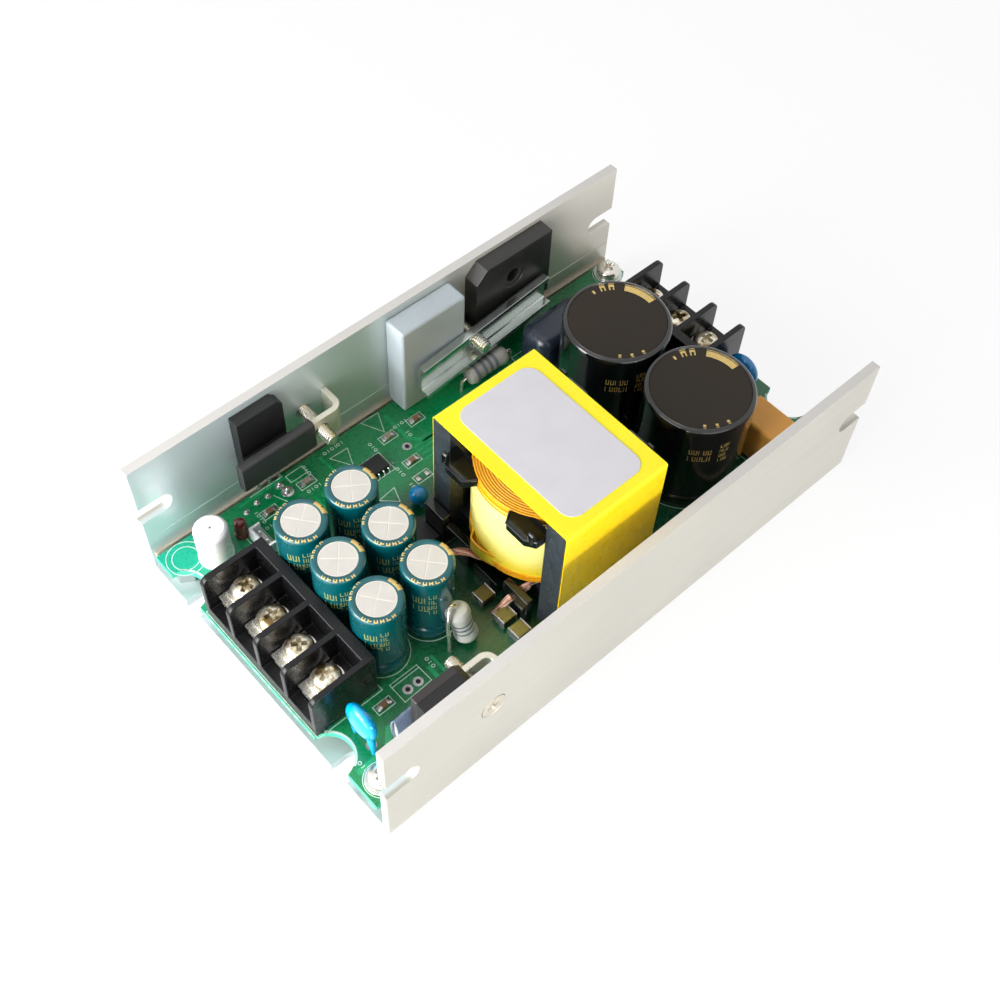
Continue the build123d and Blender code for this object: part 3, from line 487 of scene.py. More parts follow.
def combined(bm, others, operation="DIFFERENCE"):
    """The shape with the others cut away or joined on."""
    base = loose(bm)
    tools = [loose(other) for other in others]
    for tool in tools:
        step = base.modifiers.new("step", "BOOLEAN")
        step.operation = operation
        step.solver = "EXACT"
        step.object = tool
    result = bpy.data.meshes.new_from_object(base.evaluated_get(bpy.context.evaluated_depsgraph_get()))
    out = bmesh.new()
    out.from_mesh(result)
    spent = [thing.data for thing in [base] + tools] + [result]
    for thing in [base] + tools:
        bpy.data.objects.remove(thing)
    for mesh in spent:
        bpy.data.meshes.remove(mesh)
    bmesh.ops.remove_doubles(out, verts=out.verts, dist=1e-4)
    bmesh.ops.dissolve_degenerate(out, edges=out.edges, dist=1e-4)
    bmesh.ops.dissolve_limit(out, angle_limit=math.radians(0.5), verts=out.verts, edges=out.edges)
    return out


class Piece:
    """One object built from shapes, which stands for CAD nodes. Its shapes are drawn round its place."""

    def __init__(self, name, slot, *nodes, place=Matrix()):
        self.name, self.slot, self.nodes, self.place = name, slot, nodes, place
        self.bm = bmesh.new()
        self.materials = []

    def add(self, shape, material, place=Matrix()):
        if material not in self.materials:
            self.materials.append(material)
        mesh = bpy.data.meshes.new("part")
        shape.to_mesh(mesh)
        mesh.transform(self.place @ place)
        if self.place.determinant() < 0:
            mesh.flip_normals()
        for polygon in mesh.polygons:
            polygon.material_index = self.materials.index(material)
        self.bm.from_mesh(mesh)
        bpy.data.meshes.remove(mesh)
        return self

    def block(self, x, y, z, material, bevel=0.08, segments=2, place=Matrix()):
        return self.add(soften(box(x, y, z), bevel, segments), material, place)

    def close(self, angle=30):
        """Makes the object, with edges sharper than the angle left sharp."""
        mesh = bpy.data.meshes.new(self.name)
        self.bm.to_mesh(mesh)
        mesh.transform(Matrix.Scale(MM, 4))
        for material in self.materials:
            mesh.materials.append(material)
        mesh.polygons.foreach_set("use_smooth", [True] * len(mesh.polygons))
        mesh.set_sharp_from_angle(angle=math.radians(angle))
        made = linked(self.name, mesh)
        weighted = made.modifiers.new("weighted", "WEIGHTED_NORMAL")
        weighted.keep_sharp = True
        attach(made, "root")
        if self.nodes:
            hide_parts(*self.nodes)
        return made


# ---- screws ----
def cross_cutters(length, width, depth, top):
    """Two tapered wings of a cross recess."""
    cutters = []
    for turn in (0, 90):
        bm = box(*[(-0.5, 0.5)] * 3)
        for v in bm.verts:
            low = v.co.z < 0
            v.co.x *= length * (0.5 if low else 1.06)
            v.co.y *= width * (0.55 if low else 1.06)
            v.co.z = top - depth if low else top + 0.3
        cutters.append(put(bm, 0, 0, 0, turn))
    return cutters


def pan_head(radius, height, recess=3.0, width=0.95):
    """Domed screw head from height zero, with a cross recess."""
    brim, steps = height * 0.38, 8
    profile = [(0, 0), (radius - 0.12, 0), (radius, 0.12), (radius, brim)]
    for i in range(1, steps + 1):
        a = math.radians(90 * i / steps)
        profile.append((radius * math.cos(a) ** 0.62 if i < steps else 0, brim + height * 0.62 * math.sin(a)))
    head = combined(turned(profile, 56), cross_cutters(recess, width, height * 0.62, height))
    return soften(head, 0.07, 2, 40, only=lambda p: p.z > height * 0.35)


def flat_head(radius, depth):
    """Countersunk head that ends at height zero."""
    head = turned([(0, -depth), (radius - depth, -depth), (radius - 0.05, -0.12), (radius, -0.06), (radius - 0.05, 0),
                   (0, 0)], 56)
    head = combined(head, cross_cutters(3.0, 0.9, depth * 0.8, 0))
    return soften(head, 0.05, 2, 40, only=lambda p: p.z > -depth * 0.9)


def threaded(low, high):
    """Screw shank with a helical thread and a tapered tip."""
    radius, pitch, sides, rows_a_turn = 1.5, 0.5, 24, 8
    bm = bmesh.new()
    rows = int((high - low) / pitch * rows_a_turn)
    rings = []
    for i in range(rows + 1):
        z = low + (high - low) * i / rows
        taper = min(1.0, (z - low) / 0.6)
        ring = []
        for k, a in enumerate(turns(sides)):
            depth = 0.3 * abs(2 * ((z / pitch - k / sides) % 1.0) - 1)
            r = (radius - depth) * (0.82 + 0.18 * taper)
            ring.append(bm.verts.new((r * math.cos(a), r * math.sin(a), z)))
        rings.append(ring)
    return loft(bm, rings)


# ---- chassis ----
def chassis():
    (x0, x1), (y0, y1), (z0, z1) = span("chassis")
    sheet, outer, inner = 2.0, 1.9, 0.7
    floor, wall = z0 + sheet, y1 - sheet
    outline = [(y1, z1)] + arc(y1 - outer, z0 + outer, outer, 0, -90) + arc(y0 + outer, z0 + outer, outer, -90, -180)
    outline += [(y0, z1), (y0 + sheet, z1)] + arc(y0 + sheet + inner, floor + inner, inner, -180, -90)
    outline += arc(wall - inner, floor + inner, inner, -90, 0) + [(wall, z1)]

    def slot(end, middle_line, depth, width):
        """Open slot with a round bottom, from past the sheet's end."""
        half = width / 2
        curve = arc(end * (x1 - depth + half), middle_line, half, -90, -90 - end * 180, 16)
        return [(end * 70, middle_line - half)] + curve + [(end * 70, middle_line + half)]

    cutters = []
    for end in (-1, 1):
        for side in (-1, 1):
            cutters.append(prism(slot(end, 20, 7.3, 4.8), side * (y1 - 6), side * (y1 + 4), "Y"))
            cutters.append(prism(slot(end, side * 23.3, 5.8, 4.6), -3, 5))
    for screw in WALL_SCREWS:
        cutters.append(put(turned([(0, -4), (1.7, -4), (1.7, -1.25), (2.95, 0), (3.2, 0.4), (0, 0.4)], 48), *screw))
    piece = Piece("sheet_chassis", "sheet_aluminium", "chassis")
    piece.materials = [SHEET, SHEET_TOP_HIGHLIGHT, LEDGE]
    piece.add(soften(combined(prism(outline, x0, x1, "X"), cutters), 0.16, 2, 50), SHEET)
    along = (x0 + 0.6, x1 - 0.6)
    for side in (-1, 1):
        piece.block(along, sorted((side * (wall + 0.05), side * (wall - 0.7))), (4.5, 7.2), LEDGE, 0.1)
        piece.add(box(along, sorted((side * (wall + 0.05), side * (wall - 0.1))), (11.7, 11.95)), SHEET)
    # painted highlight: faces on top of the walls take the paler sheet material
    for polygon in piece.close().data.polygons:
        if polygon.normal.z > 0.3 and polygon.center.z > (z1 - 0.6) * MM:
            polygon.material_index = 1


WALL_SCREWS = [(x, side * OUTER_FACE, z, -90 * side, "X")
               for side, x, z in ((1, -24.4, 20.8), (-1, -39.05, 20.8), (1, 16.7, 18.0))]
chassis()
piece = Piece("wall_screw_set", "nickel_steel", "wall_screws")
for screw in WALL_SCREWS:
    # painted shade: the heads are a darker copy of the shanks' nickel
    piece.add(flat_head(2.7, 1.25), DULL_SHADED_NICKEL, at(*screw))
    # painted shadow: a dark ring in the countersink gap round each head
    piece.add(hoop(2.3, 2.78, -0.3, -0.15), DARK_INK_AND_SHADE, at(*screw))
    piece.add(threaded(-12.0, -1.25), NICKEL, at(*screw))
piece.close()


# ---- circuit board ----
NOTCHES = (BOARD[1][0] + 13.1, BOARD[1][1] - 10.2)
CORNERS = [(-59.4, -31.2), (59.4, -31.2), (59.4, 31.2)]
LAST_CORNER = (-59.4, 31.2)


def circuit_board():
    cutters = [put(rod(5.0, -2, 20, 64), x, y, 0) for x in (BOARD[0][0] - 0.8, BOARD[0][1] + 0.8) for y in NOTCHES]
    cutters += [put(rod(1.7, -2, 20), x, y, 0) for x, y in CORNERS]
    piece = Piece("green_board", "board_green", "circuit_board")
    piece.materials = [BOARD_GREEN, BOARD_EDGE]
    piece.add(soften(combined(box(*BOARD), cutters), 0.06, 1, 50), BOARD_GREEN)
    for polygon in piece.close().data.polygons:
        polygon.material_index = 1 if abs(polygon.normal.z) < 0.5 else 0


def ribbon(points, width, z, thickness=0.035, closed=False):
    """Thin raised line on the board."""
    pts = [Vector(p) for p in points]
    bm = bmesh.new()
    rails = []
    for i, p in enumerate(pts):
        runs = [(p - pts[i - 1]).normalized()] if i > 0 or closed else []
        if i < len(pts) - 1 or closed:
            runs.append((pts[(i + 1) % len(pts)] - p).normalized())
        mean = sum(runs, Vector((0, 0))).normalized()
        side = Vector((-mean.y, mean.x)) * width / 2 / max(0.5, abs(mean.dot(runs[0])))
        rails.append([bm.verts.new((*edge, level)) for level in (z, z + thickness) for edge in (p + side, p - side)])
    for a, b in zip(rails, rails[1:] + (rails[:1] if closed else [])):
        for i, j in ((2, 3), (0, 2), (3, 1), (1, 0)):
            bm.faces.new((a[i], a[j], b[j], b[i]))
    if not closed:
        for rail in (rails[0], rails[-1]):
            bm.faces.new([rail[i] for i in (0, 1, 3, 2)])
    bmesh.ops.recalc_face_normals(bm, faces=bm.faces)
    return bm


def circle(x, y, radius, steps=40):
    return arc(x, y, radius, 0, 360, steps)[:-1]


def rectangle(x, y, length, width):
    a, b = length / 2, width / 2
    return [(x - a, y - b), (x + a, y - b), (x + a, y + b), (x - a, y + b)]


PART_PLACES = [(-29.9, 29.6), (-9.7, 27.7), (-9.8, 19.6), (-2.2, 27.6), (-40.0, 28.6), (-49.9, -20.1)]
BARE_PLACE = (-10.65, 15.2)
TRIANGLES = [[(-11.8, 34.4), (-7.2, 34.2), (-9.4, 29.3)], [(-22.5, 31.25), (-18.0, 31.1), (-19.9, 26.7)],
             [(-21.4, 16.3), (-17.0, 16.8), (-18.3, 13.3)]]
GLYPH_PLACES = [(-13.8, 28.2, 90), (-13.2, 21.9, 0), (-13.5, 19.5, 90), (-5.0, 28.8, 0), (-5.7, 26.1, 90),
                (-13.8, 15.2, 90), (-42.3, 29.3, 90), (-41.8, 25.8, 0), (-28.0, 32.6, 90), (-29.0, 27.5, 0),
                (-33.6, 27.0, 0), (-20.6, 33.0, 0), (-18.0, 33.0, 0), (-52.6, -28.0, 0), (-45.4, -24.4, 0),
                (-60.5, -26.6, 90), (-37.6, -18.4, 90), (2.0, 24.0, 0), (-34.6, -24.8, 0)]
TRACK_ROUTES = [([(-62.5, 18.9), (-58.6, 18.9), (-56.2, 21.2), (-50.0, 21.2)], 1.1),
                ([(-62.0, -27.4), (-55.0, -27.4), (-52.2, -24.4), (-48.6, -24.4)], 1.3),
                ([(-38.4, -19.2), (-38.4, -26.0), (-33.5, -30.5), (-20.5, -30.5)], 0.9),
                ([(-36.6, -17.8), (-36.6, -23.8), (-32.4, -28.0), (-22.5, -28.0)], 0.6),
                ([(-27.4, -14.5), (-27.4, -9.5), (-24.2, -6.3), (-24.2, 2.5), (-26.5, 5.0), (-26.5, 9.0)], 0.8),
                ([(-44.0, 33.6), (-33.0, 33.6), (-31.2, 31.0)], 0.5),
                ([(-24.0, 33.0), (-23.6, 26.4), (-26.0, 23.4), (-26.0, 17.0)], 0.7),
                ([(-6.6, 32.6), (-6.6, 24.6), (-4.0, 22.0), (9.0, 22.0)], 0.9)]


def silkscreen():
    """Printed outlines of the parts on the board, with strokes and rings of no meaning."""
    piece = Piece("board_print", "board_green")
    z = TOP - 0.01
    front = BOARD[0][0]

    def line(points, closed=True, width=0.17):
        piece.add(ribbon(points, width, z, closed=closed), SILK)

    for nodes, radius in ((SMALL_CANS, 5.7), (LARGE_CANS, 11.6)):
        for node in nodes:
            line(circle(*centre(node), radius))
    for node, gap in (("output_terminal_block", 0.5), ("input_terminal_block", 0.5), ("line_filter", 0.6),
                      ("film_capacitor", 0.5), ("controller_chip", 0.8), ("coupler", 0.6), ("pin_header", 0.6)):
        sx, sy, _ = span(node)
        x0, x1 = max(sx[0] - gap, front + 0.3), min(sx[1] + gap, BOARD[0][1] - 0.3)
        line(rectangle((x0 + x1) / 2, middle(sy), x1 - x0, sy[1] - sy[0] + 2 * gap))
    for corners in TRIANGLES:
        line(corners)
    for x, y in PART_PLACES + [BARE_PLACE]:
        line(rectangle(x, y, 3.9, 2.1))
    line(rectangle(-30.2, 32.6, 4.2, 2.0))
    line([(-46.5, -17.6), (-39.9, -17.6), (-39.8, -21.9), (-46.5, -22.2)])
    for ends in ([(-46.4, -18.3), (-40.0, -18.3)], [(-41.0, 34.1), (-32.8, 34.1)], [(-37.0, 31.4), (-35.6, 28.0)]):
        line(ends, False)
    for x, y, turn in GLYPH_PLACES:
        count = rng.randint(2, 4)
        c, s = math.cos(math.radians(turn)), math.sin(math.radians(turn))
        for k in range(count):
            px, py = x + (k - count / 2) * 0.95 * c, y + (k - count / 2) * 0.95 * s
            if k % 2:
                line([(px - 0.4 * s, py + 0.4 * c), (px + 0.4 * s, py - 0.4 * c)], False)
            else:
                line(circle(px, py, 0.33, 10))
    for radius in (2.76, 3.95):
        line(circle(-59.2, 30.5, radius, 56))
    for (x, y), radius in zip(CORNERS, (3.55, 3.55, 3.5)):
        line(circle(x, y, radius), width=0.15)
    for k in range(17):
        y = -15.6 + k * 2.05
        if k % 4 != 1:
            length = rng.uniform(0.7, 1.7)
            piece.add(box((front - 0.03, front + 0.05), (y, y + length), (TOP - 0.9, TOP - 0.55)), SILK)
    for y in NOTCHES:
        line(arc(-64.3, y, 5.25, -58, 58, 24), False, 0.45)
        line(arc(63.7, y, 5.25, 122, 238, 24), False, 0.45)
    piece.close()


def tracks():
    """Copper under the mask, which shows as raised paler runs."""
    routes = list(TRACK_ROUTES)
    for k in range(5):
        x = -34.5 + 1.5 * k
        routes.append(([(x, 14.5), (x, 18.5 + 0.9 * k), (x + 2.2, 20.7 + 0.9 * k), (x + 2.2, 25.2)], 0.45))
    for k in range(4):
        y = 10.2 + 1.3 * k
        routes.append(([(-7.5, y + 8), (0.0, y + 8), (2.4, y + 10.4), (13.0, y + 10.4)], 0.5))
    piece = Piece("board_tracks", "board_green")
    for route, width in routes:
        piece.add(ribbon(route, width, TOP - 0.012, 0.03), TRACK)
    piece.close()


def pads_and_parts():
    """Solder pads, joints and the smallest parts on the board."""
    piece = Piece("solder_pads", "nickel_steel")
    joint = turned([(1.15, 0), (1.1, 0.08), (0.72, 0.22), (0.45, 0.55), (0.38, 0.95), (0.2, 1.12), (0, 1.15)], 24)
    for x, y, size in ((-34.6, 32.6, 0.8), (-34.2, 30.3, 1.2), (-38.0, 32.0, 0.6), (-40.6, 32.2, 0.6),
                       (-43.6, 31.6, 0.6), (-32.6, -24.4, 0.6)):
        piece.add(joint, SOLDER, at(x, y, TOP) @ Matrix.Scale(size, 4))
    ring, bore = hoop(0.5, 1.05, 0, 0.06, 28), rod(0.52, 0, 0.02, 20)
    for x, y in ((-41.9, -20.5), (-44.45, -20.5), (-56.7, -24.8), (-8.2, 23.2), (12.6, 21.8), (-26.5, 11.4)):
        piece.add(ring, SOLDER, at(x, y, TOP)).add(bore, BLACK, at(x, y, TOP))
    for x, y in PART_PLACES + [BARE_PLACE]:
        for side in (-1, 1):
            piece.block(around(x + side * 1.15, 0.45), around(y, 0.6), (TOP, TOP + 0.28), SOLDER, 0.1)
    under = turned([(0, -1.5), (0.3, -1.4), (0.42, -0.9), (1.0, -0.15), (1.05, 0), (0, 0)], 16)
    feet = [("output_terminal_block", span("output_terminal_block")[0][1] - 2.9, (-12.4, -4.1, 4.1, 12.4)),
            ("input_terminal_block", span("input_terminal_block")[0][0] + 2.9, (-8.25, 0, 8.25))]
    feet += [(node, centre(node)[0], (-2.5, 2.5)) for node in SMALL_CANS]
    feet += [(node, centre(node)[0], (-5, 5)) for node in LARGE_CANS]
    for node, x, offsets in feet:
        for dy in offsets:
            piece.add(under, SOLDER, at(x, centre(node)[1] + dy, UNDER))
    piece.close()
    small = Piece("chip_part_set", "chip_brown", "chip_parts")
    for (x, y), shade in zip(PART_PLACES, [CHIP_GREY] * 2 + [CHIP_BROWN] * 4):
        small.block(around(x, 0.7), around(y, 0.62), (TOP + 0.02, TOP + 0.8), shade)
        for side in (-1, 1):
            small.block(around(x + side * 0.85, 0.2), around(y, 0.63), (TOP + 0.01, TOP + 0.82), SOLDER)
    small.close()


def board_hardware():
    """Standoffs, washers and screws at the corners."""
    standoffs = Piece("standoff_set", "zinc_steel", "board_standoffs")
    for x, y in CORNERS + [LAST_CORNER]:
        shape = combined(prism(circle(0, 0, 3.0, 6), 2.0, 6.0), [rod(1.5, 1, 7)])
        standoffs.add(soften(shape, 0.12, 2, 50), ZINC, at(x, y, 0, 30))
    standoffs.close()
    washers = Piece("washer_set", "zinc_steel", "board_washers")
    screws = Piece("board_screw_set", "nickel_steel", "board_screws")
    for i, (x, y) in enumerate(CORNERS):
        washers.add(turned([(1.7, 0.02), (3.2, 0), (3.3, 0.08), (3.3, 0.42), (3.2, 0.5), (1.75, 0.5), (1.7, 0.45),
                            (1.7, 0.02)], 48), ZINC, at(x, y, TOP))
        place = at(x, y, TOP + 0.5, 20 + 31 * i)
        screws.add(pan_head(2.75, 2.2), NICKEL, place).add(threaded(-5.3, 0.0), NICKEL, place)
    washers.close()
    screws.close()


circuit_board()
silkscreen()
tracks()
pads_and_parts()
board_hardware()


# ---- terminal blocks ----
PITCH = 8.25
TURNS = [12, 55, 83, 30, 67, 8, 41]


def terminal_block(name, poles, place, first_turn, front_height):
    """Body, plates, clamps and screws of one block, drawn with its front at x = 0."""
    half = (poles * PITCH + 1.3) / 2
    cells = [(i - (poles - 1) / 2) * PITCH for i in range(poles)]
    depth, height, wall, screw_x = 14.5, 12.9, 1.9, 6.8
    cutters = []
    for y in cells:
        for x, low in (((wall, 10.2), 5.0), ((10.1, depth - 2.3), 5.95), ((wall - 0.1, 3.2), 3.0),
                       ((-1, wall), front_height)):
            cutters.append(box(x, around(y, (PITCH - 1.3) / 2), (low, 30)))
        cutters.append(put(rod(1.6, 0.6, 6, 24), screw_x, y, 0))
    side_view = [(0, 0), (depth, 0), (depth, height)] + arc(1.7, height - 1.7, 1.7, 90, 180, 6)
    body = soften(combined(prism(side_view, -half, half, "Y"), cutters), 0.22, 3, 40, only=lambda p: p.z > 0.3)
    Piece(f"{name}_barrier", "block_black", f"{name}_terminal_block", place=place).add(body, BLACK).close(32)

    plates, clamps, screws = [
        Piece(f"{name}_{kind}", "nickel_steel", f"{name}_{node}", place=place)
        for kind, node in (("contact_plates", "terminal_plates"), ("wire_clamps", "clamp_plates"),
                           ("cell_screws", "terminal_screws"))]
    head, shank = pan_head(2.85, 2.2, 3.4, 1.0), threaded(-5.5, 0.0)
    washer = [(1.6, 6.88), (3.3, 6.88), (3.42, 7.0), (3.42, 7.08), (3.3, 7.2), (1.6, 7.2), (1.6, 6.88)]
    for i, y in enumerate(cells):
        cell = at(0, y, 0)
        notches = [box((10.2, 13), ys, (4, 7)) for ys in ((-4, -2.2), (2.2, 4))]
        plate = combined(box((2.4, 12.05), (-3.3, 3.3), (5.0, 5.8)), notches)
        plates.add(soften(plate, 0.08, 2, 40), NICKEL, cell)
        plates.block((2.4, 3.2), (-2.4, 2.4), (4.0, 5.3), NICKEL, 0.12, 2, cell)
        plates.block((11.2, 12.0), (-1, 1), (-3.2, 5.3), NICKEL, 0.15, 2, cell)
        grooves = [prism([(x - 0.2, 7.1), (x + 0.2, 7.1), (x, 6.55)], -4, 4, "Y") for x in (4.2, 4.9, 8.9, 9.5)]
        clamp = combined(box((3.6, 9.9), (-2.5, 2.5), (5.8, 6.9)), [put(rod(1.6, 5, 8), screw_x, 0, 0)] + grooves)
        clamps.add(soften(clamp, 0.1, 2, 40), NICKEL, cell)
        clamps.add(turned(washer, 56), NICKEL, at(screw_x, y, 0))
        turn = at(screw_x, y, 7.2, TURNS[(first_turn + i) % len(TURNS)])
        # the heads take nickel with painted reflections
        screws.add(head, REFLECTED_NICKEL, turn).add(shank, NICKEL, turn)
    for piece in (plates, clamps, screws):
        piece.close()


sx, sy, _ = span("output_terminal_block")
terminal_block("output", 4, at(sx[0], middle(sy), TOP), 0, 3.0)
sx, sy, _ = span("input_terminal_block")
terminal_block("input", 3, at(sx[1], middle(sy), TOP, 180), 3, 5.4)


# ---- electrolytic capacitors ----
def patch(profile, start, width):
    """Thin closed skin over part of a turned surface, angles in degrees."""
    thickness, steps, last = 0.03, max(2, int(width / 3)), len(profile) - 1
    angles = [math.radians(start + width * k / steps) for k in range(steps + 1)]
    bm = bmesh.new()
    low, high = [], []
    for rows, lift in ((low, -thickness), (high, thickness)):
        for i, (radius, height) in enumerate(profile):
            run = (Vector(profile[min(i + 1, last)]) - Vector(profile[max(i - 1, 0)])).normalized()
            r, z = radius + run.y * lift, height - run.x * lift
            rows.append([bm.verts.new((r * math.cos(a), r * math.sin(a), z)) for a in angles])
    for k in range(last):
        for i in range(steps):
            bm.faces.new((high[k][i], high[k][i + 1], high[k + 1][i + 1], high[k + 1][i]))
            bm.faces.new((low[k][i + 1], low[k][i], low[k + 1][i], low[k + 1][i + 1]))
        for i in (0, steps):
            bm.faces.new((low[k][i], high[k][i], high[k + 1][i], low[k + 1][i]))
    for i in range(steps):
        for k in (0, last):
            bm.faces.new((low[k][i], low[k][i + 1], high[k][i + 1], high[k][i]))
    bmesh.ops.recalc_face_normals(bm, faces=bm.faces)
    return bm


def can(node, sleeve, disc, marks):
    """Sleeved can with its crimp, curled top rim, scored top and a few plain ink marks."""
    sx, sy, sz = span(node)
    radius, height = (sx[1] - sx[0]) / 2, sz[1] - sz[0]
    edge, inner = (0.75, radius - 1.38) if disc else (0.9, radius - 1.1)
    face = inner - 0.03
    piece = Piece(f"{node}_can", "sleeve_teal" if disc else "sleeve_dark", node, place=at(middle(sx), middle(sy), TOP))

    def top(*points):
        """Turned from pairs of a radius and a depth below the top."""
        return turned([(r, height - depth) for r, depth in points], 72)

    crimp = ((0.5, 0.0), (0.12, 0.12), (0, 0.45), (0, 2.7), (0.12, 2.95), (0.38, 3.25), (0.4, 3.55), (0.36, 3.8),
             (0.1, 4.15), (0, 4.45))
    side = [(radius - inset, z) for inset, z in crimp] + [(radius, height * 0.5), (radius, height - edge - 0.3)]
    rim = arc(radius - edge, height - edge, edge, 10, 90, 5) + [(inner + 0.25, height), (inner + 0.08, height - 0.05),
                                                               (inner, height - 0.16), (inner - 0.02, height - 0.3)]
    piece.add(turned([(0, 0.0)] + side + rim + [(0, height - 0.32)], 72), sleeve)
    if disc:
        lid = top((0, 0.34), (face, 0.34), (face, 0.16), (face - 0.1, 0.1), (0, 0.1))
        lid = combined(lid, [put(box((-a, a), (-b, b), (-0.1, 0.1)), 0, 0, height - 0.06)
                             for a, b in ((0.11, face * 0.9), (face * 0.9, 0.11))])
        turn = at(0, 0, 0, marks["cross"])
        piece.add(soften(lid, 0.04, 1, 25, only=lambda p: p.z > height - 0.2), CAN_FACE, turn)
        # painted highlight: paler bars along the score lines, a lit copy of the top's metal
        for a, b in ((0.1, face * 0.88), (face * 0.88, 0.095)):
            piece.add(box((-a, a), (-b, b), (height - 0.2, height - 0.125 - a * 0.001)), CAN_LIT_METAL, turn)
        # painted highlight: a paler ring near the edge of the top
        piece.add(top((face - 0.25, 0.2), (face - 0.02, 0.2), (face - 0.06, 0.09), (face - 0.22, 0.085),
                      (face - 0.25, 0.2)), CAN_LIT_METAL)
        skin = arc(radius - edge, height - edge, edge, 15, 90, 5) + [(inner + 0.3, height)]
    else:
        piece.add(top((0, 0.34), (face, 0.34), (face, 0.12), (face - 0.25, 0.06), (face - 0.8, 0.09), (0, 0.12)),
                  DARK_TOP)
        piece.add(top((inner + 0.1, 0.1), (inner + 0.36, 0.04), (inner + 0.3, -0.02), (inner + 0.16, -0.02),
                      (inner + 0.1, 0.1)), RIM_SHINE)
        skin = [(inner - 0.1, height - 0.095), (inner - 1.0, height - 0.105), (inner - 1.9, height - 0.11)]
    last = len(skin) - 1
    for start, width, low, high, ink in marks["top"]:
        piece.add(patch(skin[int(low * last):int(high * last) + 1], start, width), ink)
    for start, width, low, high in marks["side"]:
        piece.add(patch([(radius, low), (radius, high)], start, width), SIDE_INK if disc else GOLD_INK)
    piece.close()


def tick_marks(start, count, step, width):
    """Short ink bars and small frames round the top, of no meaning."""
    out = []
    for k in range(count):
        a, thin, low = start + k * step, width * 0.26, 0.35 + 0.2 * (k % 2)
        out.append((a, thin, 0.35, 0.95, GOLD_INK))
        if k % 3 != 1:
            out.append((a + width - thin, thin, 0.35, 0.95, GOLD_INK))
        out.append((a, width, low, low + 0.2, GOLD_INK))
    return out


def side_marks(start, low, columns, rows, width, height):
    """Rows of plain ink frames and bars down the side, of no meaning."""
    out = []
    for c in range(columns):
        for r in range(rows):
            a, z, thin = start + c * width * 1.35, low + r * height * 1.5, width * 0.24
            out.append((a, thin, z, z + height))
            if (c + r) % 3:
                out.append((a + width - thin, thin, z, z + height))
            if (c + 2 * r) % 4:
                out.append((a, width, z, z + height * 0.16))
    return out


for node in SMALL_CANS:
    spin = rng.uniform(-5, 5)
    marks = {"cross": 48 + rng.uniform(-12, 12),
             "top": [(-18 + spin, 40, 0.0, 1.0, GOLD_INK), (-2 + spin, 5, 0.3, 0.7, DARK_INK_AND_SHADE)]
             + tick_marks(196 + spin, 6, 14, 9.0) + tick_marks(92 + spin, 4, 14, 8.0),
             "side": side_marks(202 + spin, 10.6, 3, 2, 9.0, 1.9) + side_marks(236 + spin, 9.6, 2, 4, 7.0, 1.2)}
    can(node, TEAL, True, marks)
for node in LARGE_CANS:
    bars = [(-6, 42, 0.0, 1.0), (78, 3, 0.5, 1.0)]
    for a in (50, 62):
        bars += [(a, 1.8, 0.0, 1.0), (a + 5.4, 1.8, 0.0, 1.0), (a, 7, 0.0, 0.5)]
    bars += [(226 + 15 * k, 3.5, 0.0, 0.6) for k in range(3)]
    can(node, DARK_SLEEVE, False, {
        "top": [(*bar, GOLD_INK) for bar in bars],
        "side": side_marks(216, 16.2, 5, 2, 3.6, 1.4) + side_marks(248, 15.4, 3, 4, 2.6, 1.0)})


# ---- transformer ----
CORE = span("core_lower")
CX, CY = middle(CORE[0]), middle(CORE[1])
CZ0, CZM, CZ1 = *CORE[2], span("core_upper")[2][1]
WINDOW = (CZ0 + 4.6, CZ1 - 4.6)


def core():
    x0, x1 = CORE[0]
    leg, setback, post, inset = 12.9, 3.0, 7.2, 0.02
    for name, node, low, high in (("ferrite_lower", "core_lower", CZ0, CZM), ("ferrite_upper", "core_upper", CZM, CZ1)):
        upper = node == "core_upper"
        inside = (CZM - 1, WINDOW[1]) if upper else (WINDOW[0], CZM + 1)
        plate = (WINDOW[1] - 1, high + 1) if upper else (low - 1, WINDOW[0] + 1)
        post_z = (CZM + 0.25, high - 1) if upper else (low + 1, CZM - 0.25)
        notch = (CY - leg + inset, CY + leg - inset)
        cutters = [put(rod(15.9, *inside, 64), CX, CY, 0),
                   box((x0 - 5, x1 + 5), around(CY, leg), (inside[0] + 0.01, inside[1] - 0.01)),
                   box((x0 - 6, x0 + setback), notch, plate), box((x1 - setback, x1 + 6), notch, plate)]
        shape = combined(box(CORE[0], CORE[1], (low, high)), cutters)
        soften(shape, 0.3, 2, 40, only=lambda p: abs(p.z - CZM) > 0.1)
        Piece(name, "ferrite", node).add(shape, FERRITE).add(put(rod(post, *post_z, 48), CX, CY, 0), FERRITE).close()


def wrap(layers):
    """Tape round the core in thin layers whose edges don't quite line up. Its foot is open under the core."""
    piece = Piece("yellow_wrap", "tape_yellow", "core_tape")
    (x0, x1), (y0, y1), _ = CORE
    radius = 0.5

    def path(out):
        """Line over the core from foot to foot, that far outside it."""
        far, near, top = y1 + out - radius, y0 - out + radius, CZ1 + out - radius
        return ([(y1 + out, CZ0)] + arc(far, top, radius, 0, 90, 5) + arc(near, top, radius, 90, 180, 5)
                + [(y0 - out, CZ0)])

    for k in range(layers):
        inner, outer = 0.02 + 0.075 * k, 0.02 + 0.075 * (k + 1)
        start, end = rng.uniform(-0.02, 0.22), rng.uniform(-0.02, 0.22)
        piece.add(prism(path(outer) + path(inner)[::-1], x0 + start, x1 - end, "X"), TAPE)
    piece.close()


def label():
    (x0, x1), (y0, y1), (z0, z1) = span("transformer_label")
    shape = soften(prism(rounded(x0, x1, y0, y1, 3.0, 8), z0, z1), 0.04, 2, 50)
    Piece("blank_label", "label_paper", "transformer_label").add(shape, LABEL).close()


